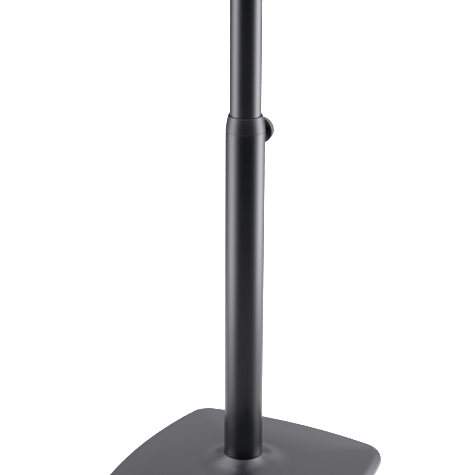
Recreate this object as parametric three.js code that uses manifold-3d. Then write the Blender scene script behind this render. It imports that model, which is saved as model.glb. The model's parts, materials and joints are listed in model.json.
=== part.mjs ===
// A height-adjustable music stand: a heavy square cast base with soft convex edges, a round telescopic
// column with a tapered clamp collar and a round knob, and a folded sheet-steel desk on a tilt fork.
//
// Units are millimetres. +Z is up, the floor is z = 0 and the column stands on the Z axis. The reader
// stands at -Y, the column's knob points to the rear, +Y, and the tilt knob to +X. The column is shown
// part-way up.
import * as THREE from "three";
import { mergeVertices } from "three/addons/utils/BufferGeometryUtils.js";
import Module from "manifold-3d";

const wasm = await Module();
wasm.setup();

// ---------------------------------------------------------------- driving dimensions
const GAP = 0.3; // between pieces that rest on each other
const THROUGH = 5; // how far a cutting tool passes the surface it opens
const SINK = 1; // how far a solid reaches into the one it is joined to
const TAU = 2 * Math.PI;
const QUARTER = TAU / 4;

// Facets of round pieces
const TUBE_SEGMENTS = 48;
const WHEEL_SEGMENTS = 36;
const WASHER_SEGMENTS = 32;
const SMALL_SEGMENTS = 20;
const PIN_SEGMENTS = 16;
const SCREW_SEGMENTS = 12;
const HEX = 6;

// Column
const LOWER_R = 30; // outer radius of the lower column tube
const UPPER_R = 24; // outer radius of the upper column tube
const TUBE_WALL = 2;

// Base casting
const BASE_HALF = 190; // from the column axis to the middle of a side
const SIDE_BULGE = 25; // how far each side swells past a straight one
const CORNER_R = 40;
const BASE_BOTTOM = 3.3; // the casting stands clear of the floor on its feet
const BASE_CHAMFER = 0.8; // round the casting's bottom edge
const EDGE_TOP = 24.7; // height where the rounded edge meets the top face
const EDGE_R = 16;
const CROWN = 9; // gentle rise of the top face towards the column
const FLARE_R = 78; // where the flare round the column begins
const RING_Z = 50; // top of the flare, where it meets the lower tube
const FLARE_POWER = 2.4; // how sharply the flare steepens
const CASTING_WALL = 7.5;
const RIM_WALL = 9;
const RIB_THICKNESS = 6;
const RIB_BOTTOM = 6;
const RIB_REACH = 247; // long enough to cross the casting from corner to corner
const BOSS_R = 42; // boss under the column
const BOSS_BOTTOM = 17; // seat of the column washer
const BOSS_SKIRT = 7; // how far the boss's rim hangs below that seat
const BOSS_RECESS_R = 26;
const SOCKET_FLOOR = 23.7;
const FOOT_PLACE = 134; // x and y of each foot
const FOOT_BOSS_R = 17;
// Facets along a side of the plan, round a corner, over the edge, across the top and up the flare
const SIDE_STEPS = 8;
const CORNER_STEPS = 4;
const EDGE_STEPS = 4;
const TOP_STEPS = 3;
const CAVITY_STEPS = 2;
const FLARE_STEPS = 6;

// Feet
const FOOT_R = 13;
const FOOT_ROUNDING = 1;
const FOOT_TOP = 6.3;
const FOOT_SCREW_R = 2;
const FOOT_SCREW_TOP = 15;
const FOOT_HEAD_R = 4.2;
const FOOT_HEAD_BOTTOM = 1.8;
const FOOT_HEAD_TOP = 4.2;
const FOOT_DRIVE_R = 2;
const FOOT_DRIVE_DEPTH = 1.2;

// Fixing of the lower tube: bolt, lock washer and washer below the casting, round nut in the tube
const BOLT_R = 6;
const BOLT_CLEARANCE = 0.8;
const BOLT_HEAD_R = 10.4;
const BOLT_HEAD_BOTTOM = 3.7;
const BOLT_HEAD_TOP = 10.7;
const LOCK_WASHER_R = 10.5;
const LOCK_WASHER_TOP = 13.4;
const COLUMN_WASHER_R = 18;
const COLUMN_NUT_TOP = 38;
const BOLT_TOP = 36;

// Collar and clamp
const SEAM_Z = 582; // where collar and lower tube meet
const COLLAR_TOP = 606;
const COLLAR_BORE = 24.4;
const SPIGOT_BOTTOM = 520;
const SPIGOT_R = LOWER_R - TUBE_WALL - GAP;
// Taper of the collar's outside: radius, and height above the seam
const COLLAR_TAPER = [
  [LOWER_R, 0],
  [LOWER_R, 1.5],
  [29.5, 5.5],
  [28.75, 10],
  [28.1, 14.5],
  [27.4, 18.5],
  [26.9, 21.2],
  [26.2, 23],
  [25.4, 24],
  [25, 24],
];
const CLAMP_Z = 569; // height of the clamp screw
const SHOE_R = 6.9;
const SHOE_WINDOW_R = 7.3;
const SHOE_INNER = 15; // the clamp's round tools start here, inside the tubes
const SHOE_TOP = 27.2; // distance of the shoe's outer face from the column axis
const CLAMP_SCREW_R = 4;
const CLAMP_BOSS_R = 10.5;
const CLAMP_BOSS_END = 40.4; // outer end of the threaded boss on the tube
const CLAMP_KNOB_START = 41;

// Round knob, used on the clamp and on the tilt bolt: a hub, and a skirted disc a neck's length away
const KNOB_R = 20.4;
const KNOB_HUB_R = 9.5;
const KNOB_NECK = 6.4;
const KNOB_DEPTH = 19.4;
const KNOB_EDGE_R = 2.8;
const KNOB_EDGE_STEPS = 3;
const KNOB_CHAMFER = 0.8;
const KNOB_SKIRT_WALL = 2.6;
const KNOB_SKIRT_DEPTH = 6.5;
const KNOB_CAP_R = 9;
const KNOB_CAP_SEAT = 1.4; // depth of the cap's seat
const KNOB_DISHING = 0.4; // the face swells by this much round the cap
const KNOB_CAP_RIM = 0.3;
const KNOB_CAP_DOME = 0.9;
const KNOB_BORE_DEPTH = 15;

// Upper tube and its foot
const PIVOT_Z = 1030; // height of the desk's tilt axis as shown
const TUBE_TOP = PIVOT_Z - 34;
const UPPER_LENGTH = 630;
const TUBE_FOOT = TUBE_TOP - UPPER_LENGTH;
const TUBE_BORE_FIT = UPPER_R - TUBE_WALL - GAP;
const GUIDE_HEIGHT = 30;
const GUIDE_R = 27.6;
const GROOVE_Z = TUBE_FOOT + GUIDE_HEIGHT + 1;
const GROOVE_HEIGHT = 2.2;
const GROOVE_DEPTH = 0.9;
const RETAINER_OUTER = UPPER_R + 2;
const RETAINER_INNER = UPPER_R - 0.6;
const RETAINER_SLOT = 4; // half width of the spring ring's opening
const FOOT_FLANGE_R = UPPER_R + 2.2;
const FOOT_FLANGE = 4;
const FOOT_PLUG = 24; // how far the cap reaches up the tube
const FOOT_HOLLOW_R = 16;
const FOOT_PIN_R = 2.5;
const FOOT_PIN_Z = TUBE_FOOT + 14;

// Tilt fork
const FORK_SPIGOT_BOTTOM = TUBE_TOP - 36;
const FORK_SHOULDER_TOP = TUBE_TOP + 5;
const FORK_HOLLOW_R = 15;
const FORK_WEB_TOP = TUBE_TOP + 12;
const LUG_INNER = 8;
const LUG_OUTER = 16;
const LUG_HALF_DEPTH = 15;
const HEAD_SCREW_R = 2.5;
const HEAD_SCREW_Z = TUBE_TOP - 18;
const HEAD_SCREW_INNER = 17;
const HEAD_SCREW_OUTER = UPPER_R - 0.2;
const HEAD_SOCKET_R = 1.4;
const HEAD_SOCKET_DEPTH = 2;

// Tilt clamp
const TILT_BOLT_R = 5;
const TILT_HEAD_R = 9.2;
const TILT_HEAD_HEIGHT = 6.4;
const EYE_HALF = 5.2; // half width of the desk bracket's eye
const DISC_R = 13.5; // radius of the eye and of the friction discs
const TILT_WASHER_R = 10.5;
const TILT_WASHER_END = LUG_OUTER + GAP + 2;
const TILT_KNOB_START = TILT_WASHER_END + GAP;
const INSERT_R = 7.2;
const INSERT_START = 0.8;
const INSERT_END = 10;
const BOLT_END_PAST_INSERT = 3;

// Desk
const DESK_TILT = THREE.MathUtils.degToRad(25); // lean back from upright, as shown
const DESK_WIDTH = 500;
const DESK_BOTTOM = -165; // along the desk, from the tilt axis
const DESK_TOP = 185;
const SHEET = 2;
const DESK_BACK = 34; // from the tilt axis to the back of the sheet
const DESK_FACE = DESK_BACK + SHEET;
const RIM_DEPTH = 10;
const DESK_CORNER_R = 24;
const CUT_CORNER_R = 1; // corners left by the shears
const SHELF_DEPTH = 42;
const SHELF_FRONT = DESK_FACE + SHELF_DEPTH;
const LIP_HEIGHT = 14;
const LIP_CORNER_R = 8;
const BEND_R = 4;
const BEND_STEPS = 4;
const CORNER_FACETS = 8;
const PLATE_HALF_WIDTH = 55;
const PLATE_HALF_HEIGHT = 40;
const PLATE_CORNER_R = 10;
const PLATE_THICKNESS = 3;
const PLATE_FRONT = DESK_BACK - GAP;
const PLATE_BACK = PLATE_FRONT - PLATE_THICKNESS;
const EYE_FOOT_DEPTH = 5; // the wider foot where the eye meets the plate
const STUD_R = 2.5;
const STUD_X = 42;
const STUD_Y = 28;
const STUD_PAST_NUT = 1.5;
const STUD_NUT_R = 4.6;
const STUD_NUT_HEIGHT = 4;
// Domed head of a desk screw: radius, and height above the reading face
const STUD_HEAD = [
  [0, 0.3],
  [6, 0.3],
  [5.6, 1.3],
  [3.6, 2.5],
  [0, 3],
];
const PAD_INSET = 14; // shelf pad: from the desk's ends, from the sheet and lip, and its thickness
const PAD_MARGIN = 5;
const PAD_THICKNESS = 1.5;

// ---------------------------------------------------------------- materials
function finish(name, color, roughness, metalness) {
  const made = new THREE.MeshStandardMaterial({ color, roughness, metalness });
  made.name = name;
  return made;
}
const powderCoat = finish("powder_coat", 0x2b2c30, 0.5, 0.4);
const collarPlastic = finish("collar_plastic", 0x2a2b2e, 0.55, 0.0);
const knobPlastic = finish("knob_plastic", 0x101112, 0.35, 0.0);
const rubber = finish("rubber", 0x151515, 0.85, 0.0);
const zincSteel = finish("zinc_steel", 0xb4b6ba, 0.35, 1.0);
const nylon = finish("nylon", 0xd8d6cc, 0.6, 0.0);
const brass = finish("brass", 0xb58d3c, 0.35, 1.0);
const blackSteel = finish("black_steel", 0x1c1d1f, 0.45, 0.6);

// ---------------------------------------------------------------- solids
const WELD = 1e-4; // vertices closer than this are one

function toSolid(geometry) {
  const bare = geometry.index ? geometry.toNonIndexed() : geometry.clone();
  bare.deleteAttribute("normal");
  bare.deleteAttribute("uv");
  const merged = mergeVertices(bare, WELD);
  return new wasm.Manifold(
    new wasm.Mesh({
      numProp: 3,
      vertProperties: merged.attributes.position.array,
      triVerts: new Uint32Array(merged.index.array),
    }),
  );
}

function toGeometry(solid) {
  const mesh = solid.getMesh();
  const points = new Float32Array(mesh.numVert * 3);
  for (let i = 0; i < mesh.numVert; i++) {
    points.set(mesh.vertProperties.subarray(i * mesh.numProp, i * mesh.numProp + 3), i * 3);
  }
  const made = new THREE.BufferGeometry();
  made.setAttribute("position", new THREE.BufferAttribute(points, 3));
  made.setIndex(new THREE.BufferAttribute(mesh.triVerts, 1));
  return made;
}

function cut(geometry, ...tools) {
  return toGeometry(tools.reduce((left, tool) => left.subtract(toSolid(tool)), toSolid(geometry)));
}

function join(geometry, ...others) {
  return toGeometry(others.reduce((sum, other) => sum.add(toSolid(other)), toSolid(geometry)));
}

function common(geometry, other) {
  return toGeometry(toSolid(geometry).intersect(toSolid(other)));
}

// A cylinder along +Z, from z = low to z = high.
function rod(radius, low, high, segments = SMALL_SEGMENTS) {
  return new THREE.CylinderGeometry(radius, radius, high - low, segments)
    .rotateX(Math.PI / 2)
    .translate(0, 0, (low + high) / 2);
}

// A plain ring along +Z.
function ring(outer, inner, low, high, segments = SMALL_SEGMENTS) {
  return cut(rod(outer, low, high, segments), rod(inner, low - THROUGH, high + THROUGH, segments));
}

// A solid of revolution about Z, from (radius, z) points that run upwards on the outside.
function turned(profile, segments = TUBE_SEGMENTS) {
  const points = profile.map(([radius, z]) => new THREE.Vector2(radius, z));
  return new THREE.LatheGeometry(points, segments).rotateX(Math.PI / 2);
}

function block(xLow, xHigh, yLow, yHigh, zLow, zHigh) {
  return new THREE.BoxGeometry(xHigh - xLow, yHigh - yLow, zHigh - zLow).translate(
    (xLow + xHigh) / 2,
    (yLow + yHigh) / 2,
    (zLow + zHigh) / 2,
  );
}

// A closed skin through rings of equal point counts; each end is closed onto the middle of its ring.
function loft(rings) {
  const count = rings[0].length;
  const middle = (list) => list.reduce((sum, p) => sum.add(p), new THREE.Vector3()).divideScalar(count);
  const points = [middle(rings[0]), ...rings.flat(), middle(rings.at(-1))];
  const index = [];
  const at = (r, i) => 1 + r * count + (i % count);
  for (let i = 0; i < count; i++) {
    index.push(0, at(0, i + 1), at(0, i));
    for (let r = 0; r < rings.length - 1; r++) {
      index.push(at(r, i), at(r, i + 1), at(r + 1, i + 1));
      index.push(at(r, i), at(r + 1, i + 1), at(r + 1, i));
    }
    index.push(at(rings.length - 1, i), at(rings.length - 1, i + 1), points.length - 1);
  }
  const made = new THREE.BufferGeometry().setFromPoints(points);
  made.setIndex(index);
  return made;
}

// Turns a piece made along +Z to lie along +Y or +X.
const alongY = (geometry) => geometry.rotateX(-Math.PI / 2);
const alongX = (geometry) => geometry.rotateY(Math.PI / 2);

const root = new THREE.Group();
function place(name, geometry, material, parent = root) {
  const mesh = new THREE.Mesh(geometry, material);
  mesh.name = name;
  parent.add(mesh);
  return mesh;
}

// ---------------------------------------------------------------- base casting
// The plan is a square whose sides are shallow arcs, with round corners. Each point carries its normal.
function basePlan() {
  const sideR = (BASE_HALF ** 2 + SIDE_BULGE ** 2) / (2 * SIDE_BULGE);
  const sideCentre = BASE_HALF - sideR;
  const reach = sideR - CORNER_R;
  const corner = (sideCentre + Math.sqrt(2 * reach ** 2 - sideCentre ** 2)) / 2;
  const half = Math.atan2(corner, corner - sideCentre);
  const quarter = [];
  for (let i = 0; i < SIDE_STEPS; i++) {
    const a = -half + (2 * half * i) / SIDE_STEPS;
    quarter.push([sideCentre + sideR * Math.cos(a), sideR * Math.sin(a), a]);
  }
  for (let i = 0; i < CORNER_STEPS; i++) {
    const a = half + ((QUARTER - 2 * half) * i) / CORNER_STEPS;
    quarter.push([corner + CORNER_R * Math.cos(a), corner + CORNER_R * Math.sin(a), a]);
  }
  return [0, 1, 2, 3].flatMap((q) =>
    quarter.map(([x, y, a]) => {
      const turn = q * QUARTER;
      const point = new THREE.Vector2(x, y).rotateAround(new THREE.Vector2(), turn);
      return { point, normal: new THREE.Vector2(Math.cos(a + turn), Math.sin(a + turn)) };
    }),
  );
}

const plan = basePlan();

// The plan moved inwards by an offset, at a height.
function inset(offset, z) {
  return plan.map(({ point, normal }) => {
    const moved = point.clone().addScaledVector(normal, -offset);
    return new THREE.Vector3(moved.x, moved.y, z);
  });
}

// Height of the top face between the rounded edge (share 0) and the flare (share 1).
const crownZ = (share) => EDGE_TOP + CROWN * (1 - (1 - share) ** 2);

// Rings of the crowned top face from the edge to the flare, drop millimetres under the true surface.
function topRings(edge, steps, drop) {
  const rings = [];
  for (let k = 0; k <= steps; k++) {
    const share = k / steps;
    rings.push(
      edge.map((p) => {
        const far = Math.hypot(p.x, p.y);
        const radius = far + (FLARE_R - far) * share;
        return new THREE.Vector3((p.x / far) * radius, (p.y / far) * radius, crownZ(share) - drop);
      }),
    );
  }
  return rings;
}

// Rings of the flare, which steepens as it leads from the top face up to the lower tube.
function flareRings() {
  const rings = [];
  for (let k = 1; k <= FLARE_STEPS; k++) {
    const share = k / FLARE_STEPS;
    const radius = FLARE_R - (FLARE_R - LOWER_R - GAP) * share;
    const z = crownZ(1) + (RING_Z - crownZ(1)) * share ** FLARE_POWER;
    rings.push(
      plan.map(({ point }) => {
        const angle = Math.atan2(point.y, point.x);
        return new THREE.Vector3(radius * Math.cos(angle), radius * Math.sin(angle), z);
      }),
    );
  }
  return rings;
}

function baseOuter() {
  const rings = [inset(BASE_CHAMFER, BASE_BOTTOM), inset(0, BASE_BOTTOM + BASE_CHAMFER)];
  for (let k = 0; k <= EDGE_STEPS; k++) {
    const a = (k / EDGE_STEPS) * QUARTER;
    rings.push(inset(EDGE_R * (1 - Math.cos(a)), EDGE_TOP - EDGE_R * (1 - Math.sin(a))));
  }
  rings.push(...topRings(inset(EDGE_R, EDGE_TOP), TOP_STEPS, 0).slice(1), ...flareRings());
  return loft(rings);
}

function baseCavity() {
  return loft([
    inset(RIM_WALL, BASE_BOTTOM - THROUGH),
    inset(RIM_WALL, EDGE_TOP - EDGE_R + SINK),
    ...topRings(inset(EDGE_R, EDGE_TOP), CAVITY_STEPS, CASTING_WALL),
  ]);
}

const footPlaces = [
  ["front_left", -1, -1],
  ["front_right", 1, -1],
  ["rear_right", 1, 1],
  ["rear_left", -1, 1],
];
const atFoot = (geometry, x, y) => geometry.translate(x * FOOT_PLACE, y * FOOT_PLACE, 0);

// What stands inside the hollow casting: the column's boss, two crossed ribs and the feet's bosses.
function castingInside(outer) {
  const ribs = [1, 3].map((eighths) => {
    const rib = block(-RIB_REACH, RIB_REACH, -RIB_THICKNESS / 2, RIB_THICKNESS / 2, RIB_BOTTOM, RING_Z);
    return rib.rotateZ((eighths * TAU) / 8);
  });
  const footBosses = footPlaces.map(([, x, y]) => atFoot(rod(FOOT_BOSS_R, BASE_BOTTOM, RING_Z), x, y));
  const columnBoss = rod(BOSS_R, BOSS_BOTTOM - BOSS_SKIRT, RING_Z, WASHER_SEGMENTS);
  return common(join(columnBoss, ...ribs, ...footBosses), outer);
}

function baseCasting() {
  const outer = baseOuter();
  const shell = cut(outer, baseCavity());
  const pockets = footPlaces.flatMap(([, x, y]) => [
    atFoot(rod(FOOT_R + GAP, 0, FOOT_TOP + GAP), x, y),
    atFoot(rod(FOOT_SCREW_R + GAP, 0, FOOT_SCREW_TOP + SINK, SCREW_SEGMENTS), x, y),
  ]);
  return cut(
    join(shell, castingInside(outer)),
    rod(LOWER_R + GAP, SOCKET_FLOOR, RING_Z + THROUGH, TUBE_SEGMENTS),
    rod(BOLT_R + BOLT_CLEARANCE, 0, RING_Z),
    rod(BOSS_RECESS_R, 0, BOSS_BOTTOM),
    ...pockets,
  );
}

place("base_casting", baseCasting(), powderCoat);

// ---------------------------------------------------------------- feet
function rubberFoot() {
  return cut(
    turned(
      [[0, 0], [FOOT_R - FOOT_ROUNDING, 0], [FOOT_R, FOOT_ROUNDING], [FOOT_R, FOOT_TOP], [0, FOOT_TOP]],
      WASHER_SEGMENTS,
    ),
    rod(FOOT_HEAD_R + GAP, -SINK, FOOT_HEAD_TOP + GAP),
    rod(FOOT_SCREW_R + GAP, 0, FOOT_TOP + SINK, SCREW_SEGMENTS),
  );
}

function footScrew() {
  const drive = rod(FOOT_DRIVE_R, 0, FOOT_HEAD_BOTTOM + FOOT_DRIVE_DEPTH, HEX);
  const head = cut(rod(FOOT_HEAD_R, FOOT_HEAD_BOTTOM, FOOT_HEAD_TOP), drive);
  return join(head, rod(FOOT_SCREW_R, FOOT_HEAD_TOP - SINK / 2, FOOT_SCREW_TOP, SCREW_SEGMENTS));
}

for (const [where, x, y] of footPlaces) {
  const foot = new THREE.Group();
  foot.position.set(x * FOOT_PLACE, y * FOOT_PLACE, 0);
  root.add(foot);
  place(`rubber_foot_${where}`, rubberFoot(), rubber, foot);
  place(`foot_screw_${where}`, footScrew(), zincSteel, foot);
}

// ---------------------------------------------------------------- column fixing
const boltHead = rod(BOLT_HEAD_R, BOLT_HEAD_BOTTOM, BOLT_HEAD_TOP, HEX);
place("column_bolt", join(boltHead, rod(BOLT_R, BOLT_HEAD_TOP - SINK, BOLT_TOP)), zincSteel);

const lockWasher = ring(LOCK_WASHER_R, BOLT_R + GAP, BOLT_HEAD_TOP + GAP, LOCK_WASHER_TOP);
place("column_lock_washer", lockWasher, zincSteel);

const columnWasher = ring(
  COLUMN_WASHER_R,
  BOLT_R + GAP,
  LOCK_WASHER_TOP + GAP,
  BOSS_BOTTOM - GAP,
  WASHER_SEGMENTS,
);
place("column_washer", columnWasher, zincSteel);

const columnNut = ring(SPIGOT_R, BOLT_R + GAP, SOCKET_FLOOR + GAP, COLUMN_NUT_TOP, TUBE_SEGMENTS);
place("column_nut", columnNut, zincSteel);

// ---------------------------------------------------------------- lower tube, collar and clamp
const clampAxis = (geometry) => alongY(geometry).translate(0, 0, CLAMP_Z);
const shoeWindow = () => clampAxis(rod(SHOE_WINDOW_R, SHOE_INNER, LOWER_R + THROUGH));

const lowerTube = ring(LOWER_R, LOWER_R - TUBE_WALL, SOCKET_FLOOR + GAP, SEAM_Z - GAP, TUBE_SEGMENTS);
place("lower_tube", cut(lowerTube, shoeWindow()), powderCoat);

// The collar tapers from the tube's radius to a rounded top edge; its spigot guides the upper tube.
function clampCollar() {
  const body = turned([
    [COLLAR_BORE, SPIGOT_BOTTOM],
    [SPIGOT_R, SPIGOT_BOTTOM],
    [SPIGOT_R, SEAM_Z],
    ...COLLAR_TAPER.map(([radius, above]) => [radius, SEAM_Z + above]),
    [COLLAR_BORE, COLLAR_TOP - SINK],
    [COLLAR_BORE, SPIGOT_BOTTOM],
  ]);
  return cut(body, shoeWindow());
}
place("clamp_collar", clampCollar(), collarPlastic);

// A column-sized cutter that gives a clamp piece its hollow inner face.
const columnCutter = (radius) => rod(radius, CLAMP_Z - LOWER_R, CLAMP_Z + LOWER_R, TUBE_SEGMENTS);

const clampBoss = cut(
  clampAxis(rod(CLAMP_BOSS_R, SHOE_INNER, CLAMP_BOSS_END)),
  columnCutter(LOWER_R + GAP),
  clampAxis(rod(CLAMP_SCREW_R + GAP, 0, CLAMP_BOSS_END + THROUGH)),
);
place("clamp_boss", clampBoss, powderCoat);

const shoe = cut(clampAxis(rod(SHOE_R, SHOE_INNER, SHOE_TOP)), columnCutter(UPPER_R + GAP));
place("pressure_shoe", shoe, nylon);

// ---------------------------------------------------------------- round knob
// A knob along +Z from z = 0: a hub, a disc with a hollow skirt that opens towards the hub's end, and a
// seat for a cap in its slightly domed face.
function roundKnob(boreR) {
  const skirtR = KNOB_R - KNOB_SKIRT_WALL;
  const skirtEnd = KNOB_NECK + KNOB_SKIRT_DEPTH;
  const seat = KNOB_DEPTH - KNOB_CAP_SEAT;
  const edge = [];
  for (let k = 0; k <= KNOB_EDGE_STEPS; k++) {
    const a = (k / KNOB_EDGE_STEPS) * QUARTER;
    edge.push([KNOB_R - KNOB_EDGE_R * (1 - Math.cos(a)), KNOB_DEPTH - KNOB_EDGE_R * (1 - Math.sin(a))]);
  }
  const profile = [
    [0, 0],
    [KNOB_HUB_R, 0],
    [KNOB_HUB_R, skirtEnd],
    [skirtR, skirtEnd],
    [skirtR, KNOB_NECK],
    [KNOB_R - KNOB_CHAMFER, KNOB_NECK],
    [KNOB_R, KNOB_NECK + KNOB_CHAMFER],
    ...edge,
    [KNOB_CAP_R + GAP, KNOB_DEPTH + KNOB_DISHING],
    [KNOB_CAP_R + GAP, seat],
    [0, seat],
  ];
  return cut(turned(profile, WHEEL_SEGMENTS), rod(boreR, -SINK, KNOB_BORE_DEPTH));
}

function knobCap() {
  const seat = KNOB_DEPTH - KNOB_CAP_SEAT + GAP;
  const profile = [
    [0, seat],
    [KNOB_CAP_R, seat],
    [KNOB_CAP_R, KNOB_DEPTH + KNOB_CAP_RIM],
    [0, KNOB_DEPTH + KNOB_CAP_DOME],
  ];
  return turned(profile, WASHER_SEGMENTS);
}

const onClamp = (geometry) => clampAxis(geometry.translate(0, 0, CLAMP_KNOB_START));
place("clamp_knob", onClamp(roundKnob(CLAMP_SCREW_R + GAP)), knobPlastic);
place("clamp_knob_cap", onClamp(knobCap()), knobPlastic);

const clampScrewEnd = CLAMP_KNOB_START + KNOB_BORE_DEPTH - GAP;
place("clamp_screw", clampAxis(rod(CLAMP_SCREW_R, SHOE_TOP + GAP, clampScrewEnd)), zincSteel);

// ---------------------------------------------------------------- upper tube and its foot
// A clearance hole for a pin, straight across the column.
function crossHole(radius, z) {
  return alongX(rod(radius + GAP, -LOWER_R, LOWER_R, PIN_SEGMENTS)).translate(0, 0, z);
}

const grooveTop = GROOVE_Z + GROOVE_HEIGHT;
const upperTube = cut(
  ring(UPPER_R, UPPER_R - TUBE_WALL, TUBE_FOOT, TUBE_TOP, TUBE_SEGMENTS),
  cut(
    rod(UPPER_R + SINK, GROOVE_Z, grooveTop, TUBE_SEGMENTS),
    rod(UPPER_R - GROOVE_DEPTH, GROOVE_Z - SINK, grooveTop + SINK, TUBE_SEGMENTS),
  ),
  crossHole(HEAD_SCREW_R, HEAD_SCREW_Z),
  crossHole(FOOT_PIN_R, FOOT_PIN_Z),
);
place("upper_tube", upperTube, powderCoat);

const guideRing = ring(GUIDE_R, UPPER_R + GAP, TUBE_FOOT, TUBE_FOOT + GUIDE_HEIGHT, TUBE_SEGMENTS);
place("guide_ring", guideRing, nylon);

// A spring ring, open at the front, that sits in the tube's groove and keeps the guide ring in place.
const retainingRing = cut(
  ring(RETAINER_OUTER, RETAINER_INNER, GROOVE_Z + GAP, grooveTop - GAP, TUBE_SEGMENTS),
  block(-RETAINER_SLOT, RETAINER_SLOT, -LOWER_R, 0, GROOVE_Z - THROUGH, GROOVE_Z + THROUGH),
);
place("retaining_ring", retainingRing, zincSteel);

function tubeFootCap() {
  const top = TUBE_FOOT - GAP;
  const bottom = top - FOOT_FLANGE;
  const plugTop = TUBE_FOOT + FOOT_PLUG;
  const body = turned([
    [0, bottom],
    [FOOT_FLANGE_R - FOOT_ROUNDING, bottom],
    [FOOT_FLANGE_R, bottom + FOOT_ROUNDING],
    [FOOT_FLANGE_R, top],
    [TUBE_BORE_FIT, top],
    [TUBE_BORE_FIT, plugTop],
    [0, plugTop],
  ]);
  const hollow = rod(FOOT_HOLLOW_R, TUBE_FOOT + FOOT_FLANGE, plugTop + THROUGH, WASHER_SEGMENTS);
  return cut(body, hollow, crossHole(FOOT_PIN_R, FOOT_PIN_Z));
}
place("tube_foot_cap", tubeFootCap(), nylon);

const pinHalf = UPPER_R - SINK / 2;
const footPin = alongX(rod(FOOT_PIN_R, -pinHalf, pinHalf, PIN_SEGMENTS)).translate(0, 0, FOOT_PIN_Z);
place("foot_cap_pin", footPin, zincSteel);

// ---------------------------------------------------------------- tilt fork
const sides = [["left", -1], ["right", 1]];
// A piece made on the +X side, turned over for the -X side.
const onSide = (sign, geometry) => (sign > 0 ? geometry : geometry.rotateZ(Math.PI));

function lug(sign) {
  const low = Math.min(sign * LUG_INNER, sign * LUG_OUTER);
  const high = Math.max(sign * LUG_INNER, sign * LUG_OUTER);
  return join(
    block(low, high, -LUG_HALF_DEPTH, LUG_HALF_DEPTH, FORK_SHOULDER_TOP - SINK, PIVOT_Z),
    alongX(rod(LUG_HALF_DEPTH, low, high, WHEEL_SEGMENTS)).translate(0, 0, PIVOT_Z),
  );
}

function headFork() {
  const body = turned([
    [0, FORK_SPIGOT_BOTTOM],
    [TUBE_BORE_FIT - SINK, FORK_SPIGOT_BOTTOM],
    [TUBE_BORE_FIT, FORK_SPIGOT_BOTTOM + SINK],
    [TUBE_BORE_FIT, TUBE_TOP + GAP],
    [UPPER_R, TUBE_TOP + GAP],
    [UPPER_R, FORK_SHOULDER_TOP - 1.5 * SINK],
    [UPPER_R - 1.5 * SINK, FORK_SHOULDER_TOP],
    [0, FORK_SHOULDER_TOP],
  ]);
  const webBottom = FORK_SHOULDER_TOP - SINK;
  const web = block(-LUG_OUTER, LUG_OUTER, -LUG_HALF_DEPTH, LUG_HALF_DEPTH, webBottom, FORK_WEB_TOP);
  return cut(
    join(body, web, ...sides.map(([, sign]) => lug(sign))),
    alongX(rod(TILT_BOLT_R + GAP, -LOWER_R, LOWER_R)).translate(0, 0, PIVOT_Z),
    rod(FORK_HOLLOW_R, FORK_SPIGOT_BOTTOM - THROUGH, TUBE_TOP - THROUGH, WASHER_SEGMENTS),
    crossHole(HEAD_SCREW_R, HEAD_SCREW_Z),
  );
}
place("head_fork", headFork(), powderCoat);

for (const [side, sign] of sides) {
  const socketFloor = HEAD_SCREW_OUTER - HEAD_SOCKET_DEPTH;
  const screw = cut(
    rod(HEAD_SCREW_R, HEAD_SCREW_INNER, HEAD_SCREW_OUTER, PIN_SEGMENTS),
    rod(HEAD_SOCKET_R, socketFloor, HEAD_SCREW_OUTER + SINK, HEX),
  );
  place(`head_screw_${side}`, onSide(sign, alongX(screw)).translate(0, 0, HEAD_SCREW_Z), zincSteel);
}

// ---------------------------------------------------------------- tilt clamp
const tilt = new THREE.Group();
tilt.position.set(0, 0, PIVOT_Z);
root.add(tilt);

for (const [side, sign] of sides) {
  const disc = ring(DISC_R, TILT_BOLT_R + GAP, EYE_HALF + GAP, LUG_INNER - GAP, WASHER_SEGMENTS);
  place(`friction_disc_${side}`, onSide(sign, alongX(disc)), nylon, tilt);
  const washer = ring(TILT_WASHER_R, TILT_BOLT_R + GAP, LUG_OUTER + GAP, TILT_WASHER_END, WASHER_SEGMENTS);
  place(`tilt_washer_${side}`, onSide(sign, alongX(washer)), zincSteel, tilt);
}

const headInner = -TILT_WASHER_END - GAP;
const boltEnd = TILT_KNOB_START + INSERT_END + BOLT_END_PAST_INSERT;
const tiltBolt = join(
  rod(TILT_HEAD_R, headInner - TILT_HEAD_HEIGHT, headInner, HEX),
  rod(TILT_BOLT_R, headInner - SINK, boltEnd),
);
place("tilt_bolt", alongX(tiltBolt), zincSteel, tilt);

const onTilt = (geometry) => alongX(geometry.translate(0, 0, TILT_KNOB_START));
const insertSeat = rod(INSERT_R + GAP, -SINK, INSERT_END + GAP);
place("tilt_knob", onTilt(cut(roundKnob(TILT_BOLT_R + GAP), insertSeat)), knobPlastic, tilt);
place("tilt_knob_cap", onTilt(knobCap()), knobPlastic, tilt);
place("tilt_knob_nut", onTilt(ring(INSERT_R, TILT_BOLT_R + GAP, INSERT_START, INSERT_END)), brass, tilt);

// ---------------------------------------------------------------- desk
// The desk's own frame: x across, y up along the desk, z out of its reading face, origin on the tilt axis.
const desk = new THREE.Group();
desk.rotation.x = Math.PI / 2 - DESK_TILT;
tilt.add(desk);

const studPlaces = [
  ["lower_left", -STUD_X, -STUD_Y],
  ["lower_right", STUD_X, -STUD_Y],
  ["upper_right", STUD_X, STUD_Y],
  ["upper_left", -STUD_X, STUD_Y],
];
const studHole = () => rod(STUD_R + GAP, 0, DESK_FACE + THROUGH, PIN_SEGMENTS);
const studHoles = () => studPlaces.map(([, x, y]) => studHole().translate(x, y, 0));

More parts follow.
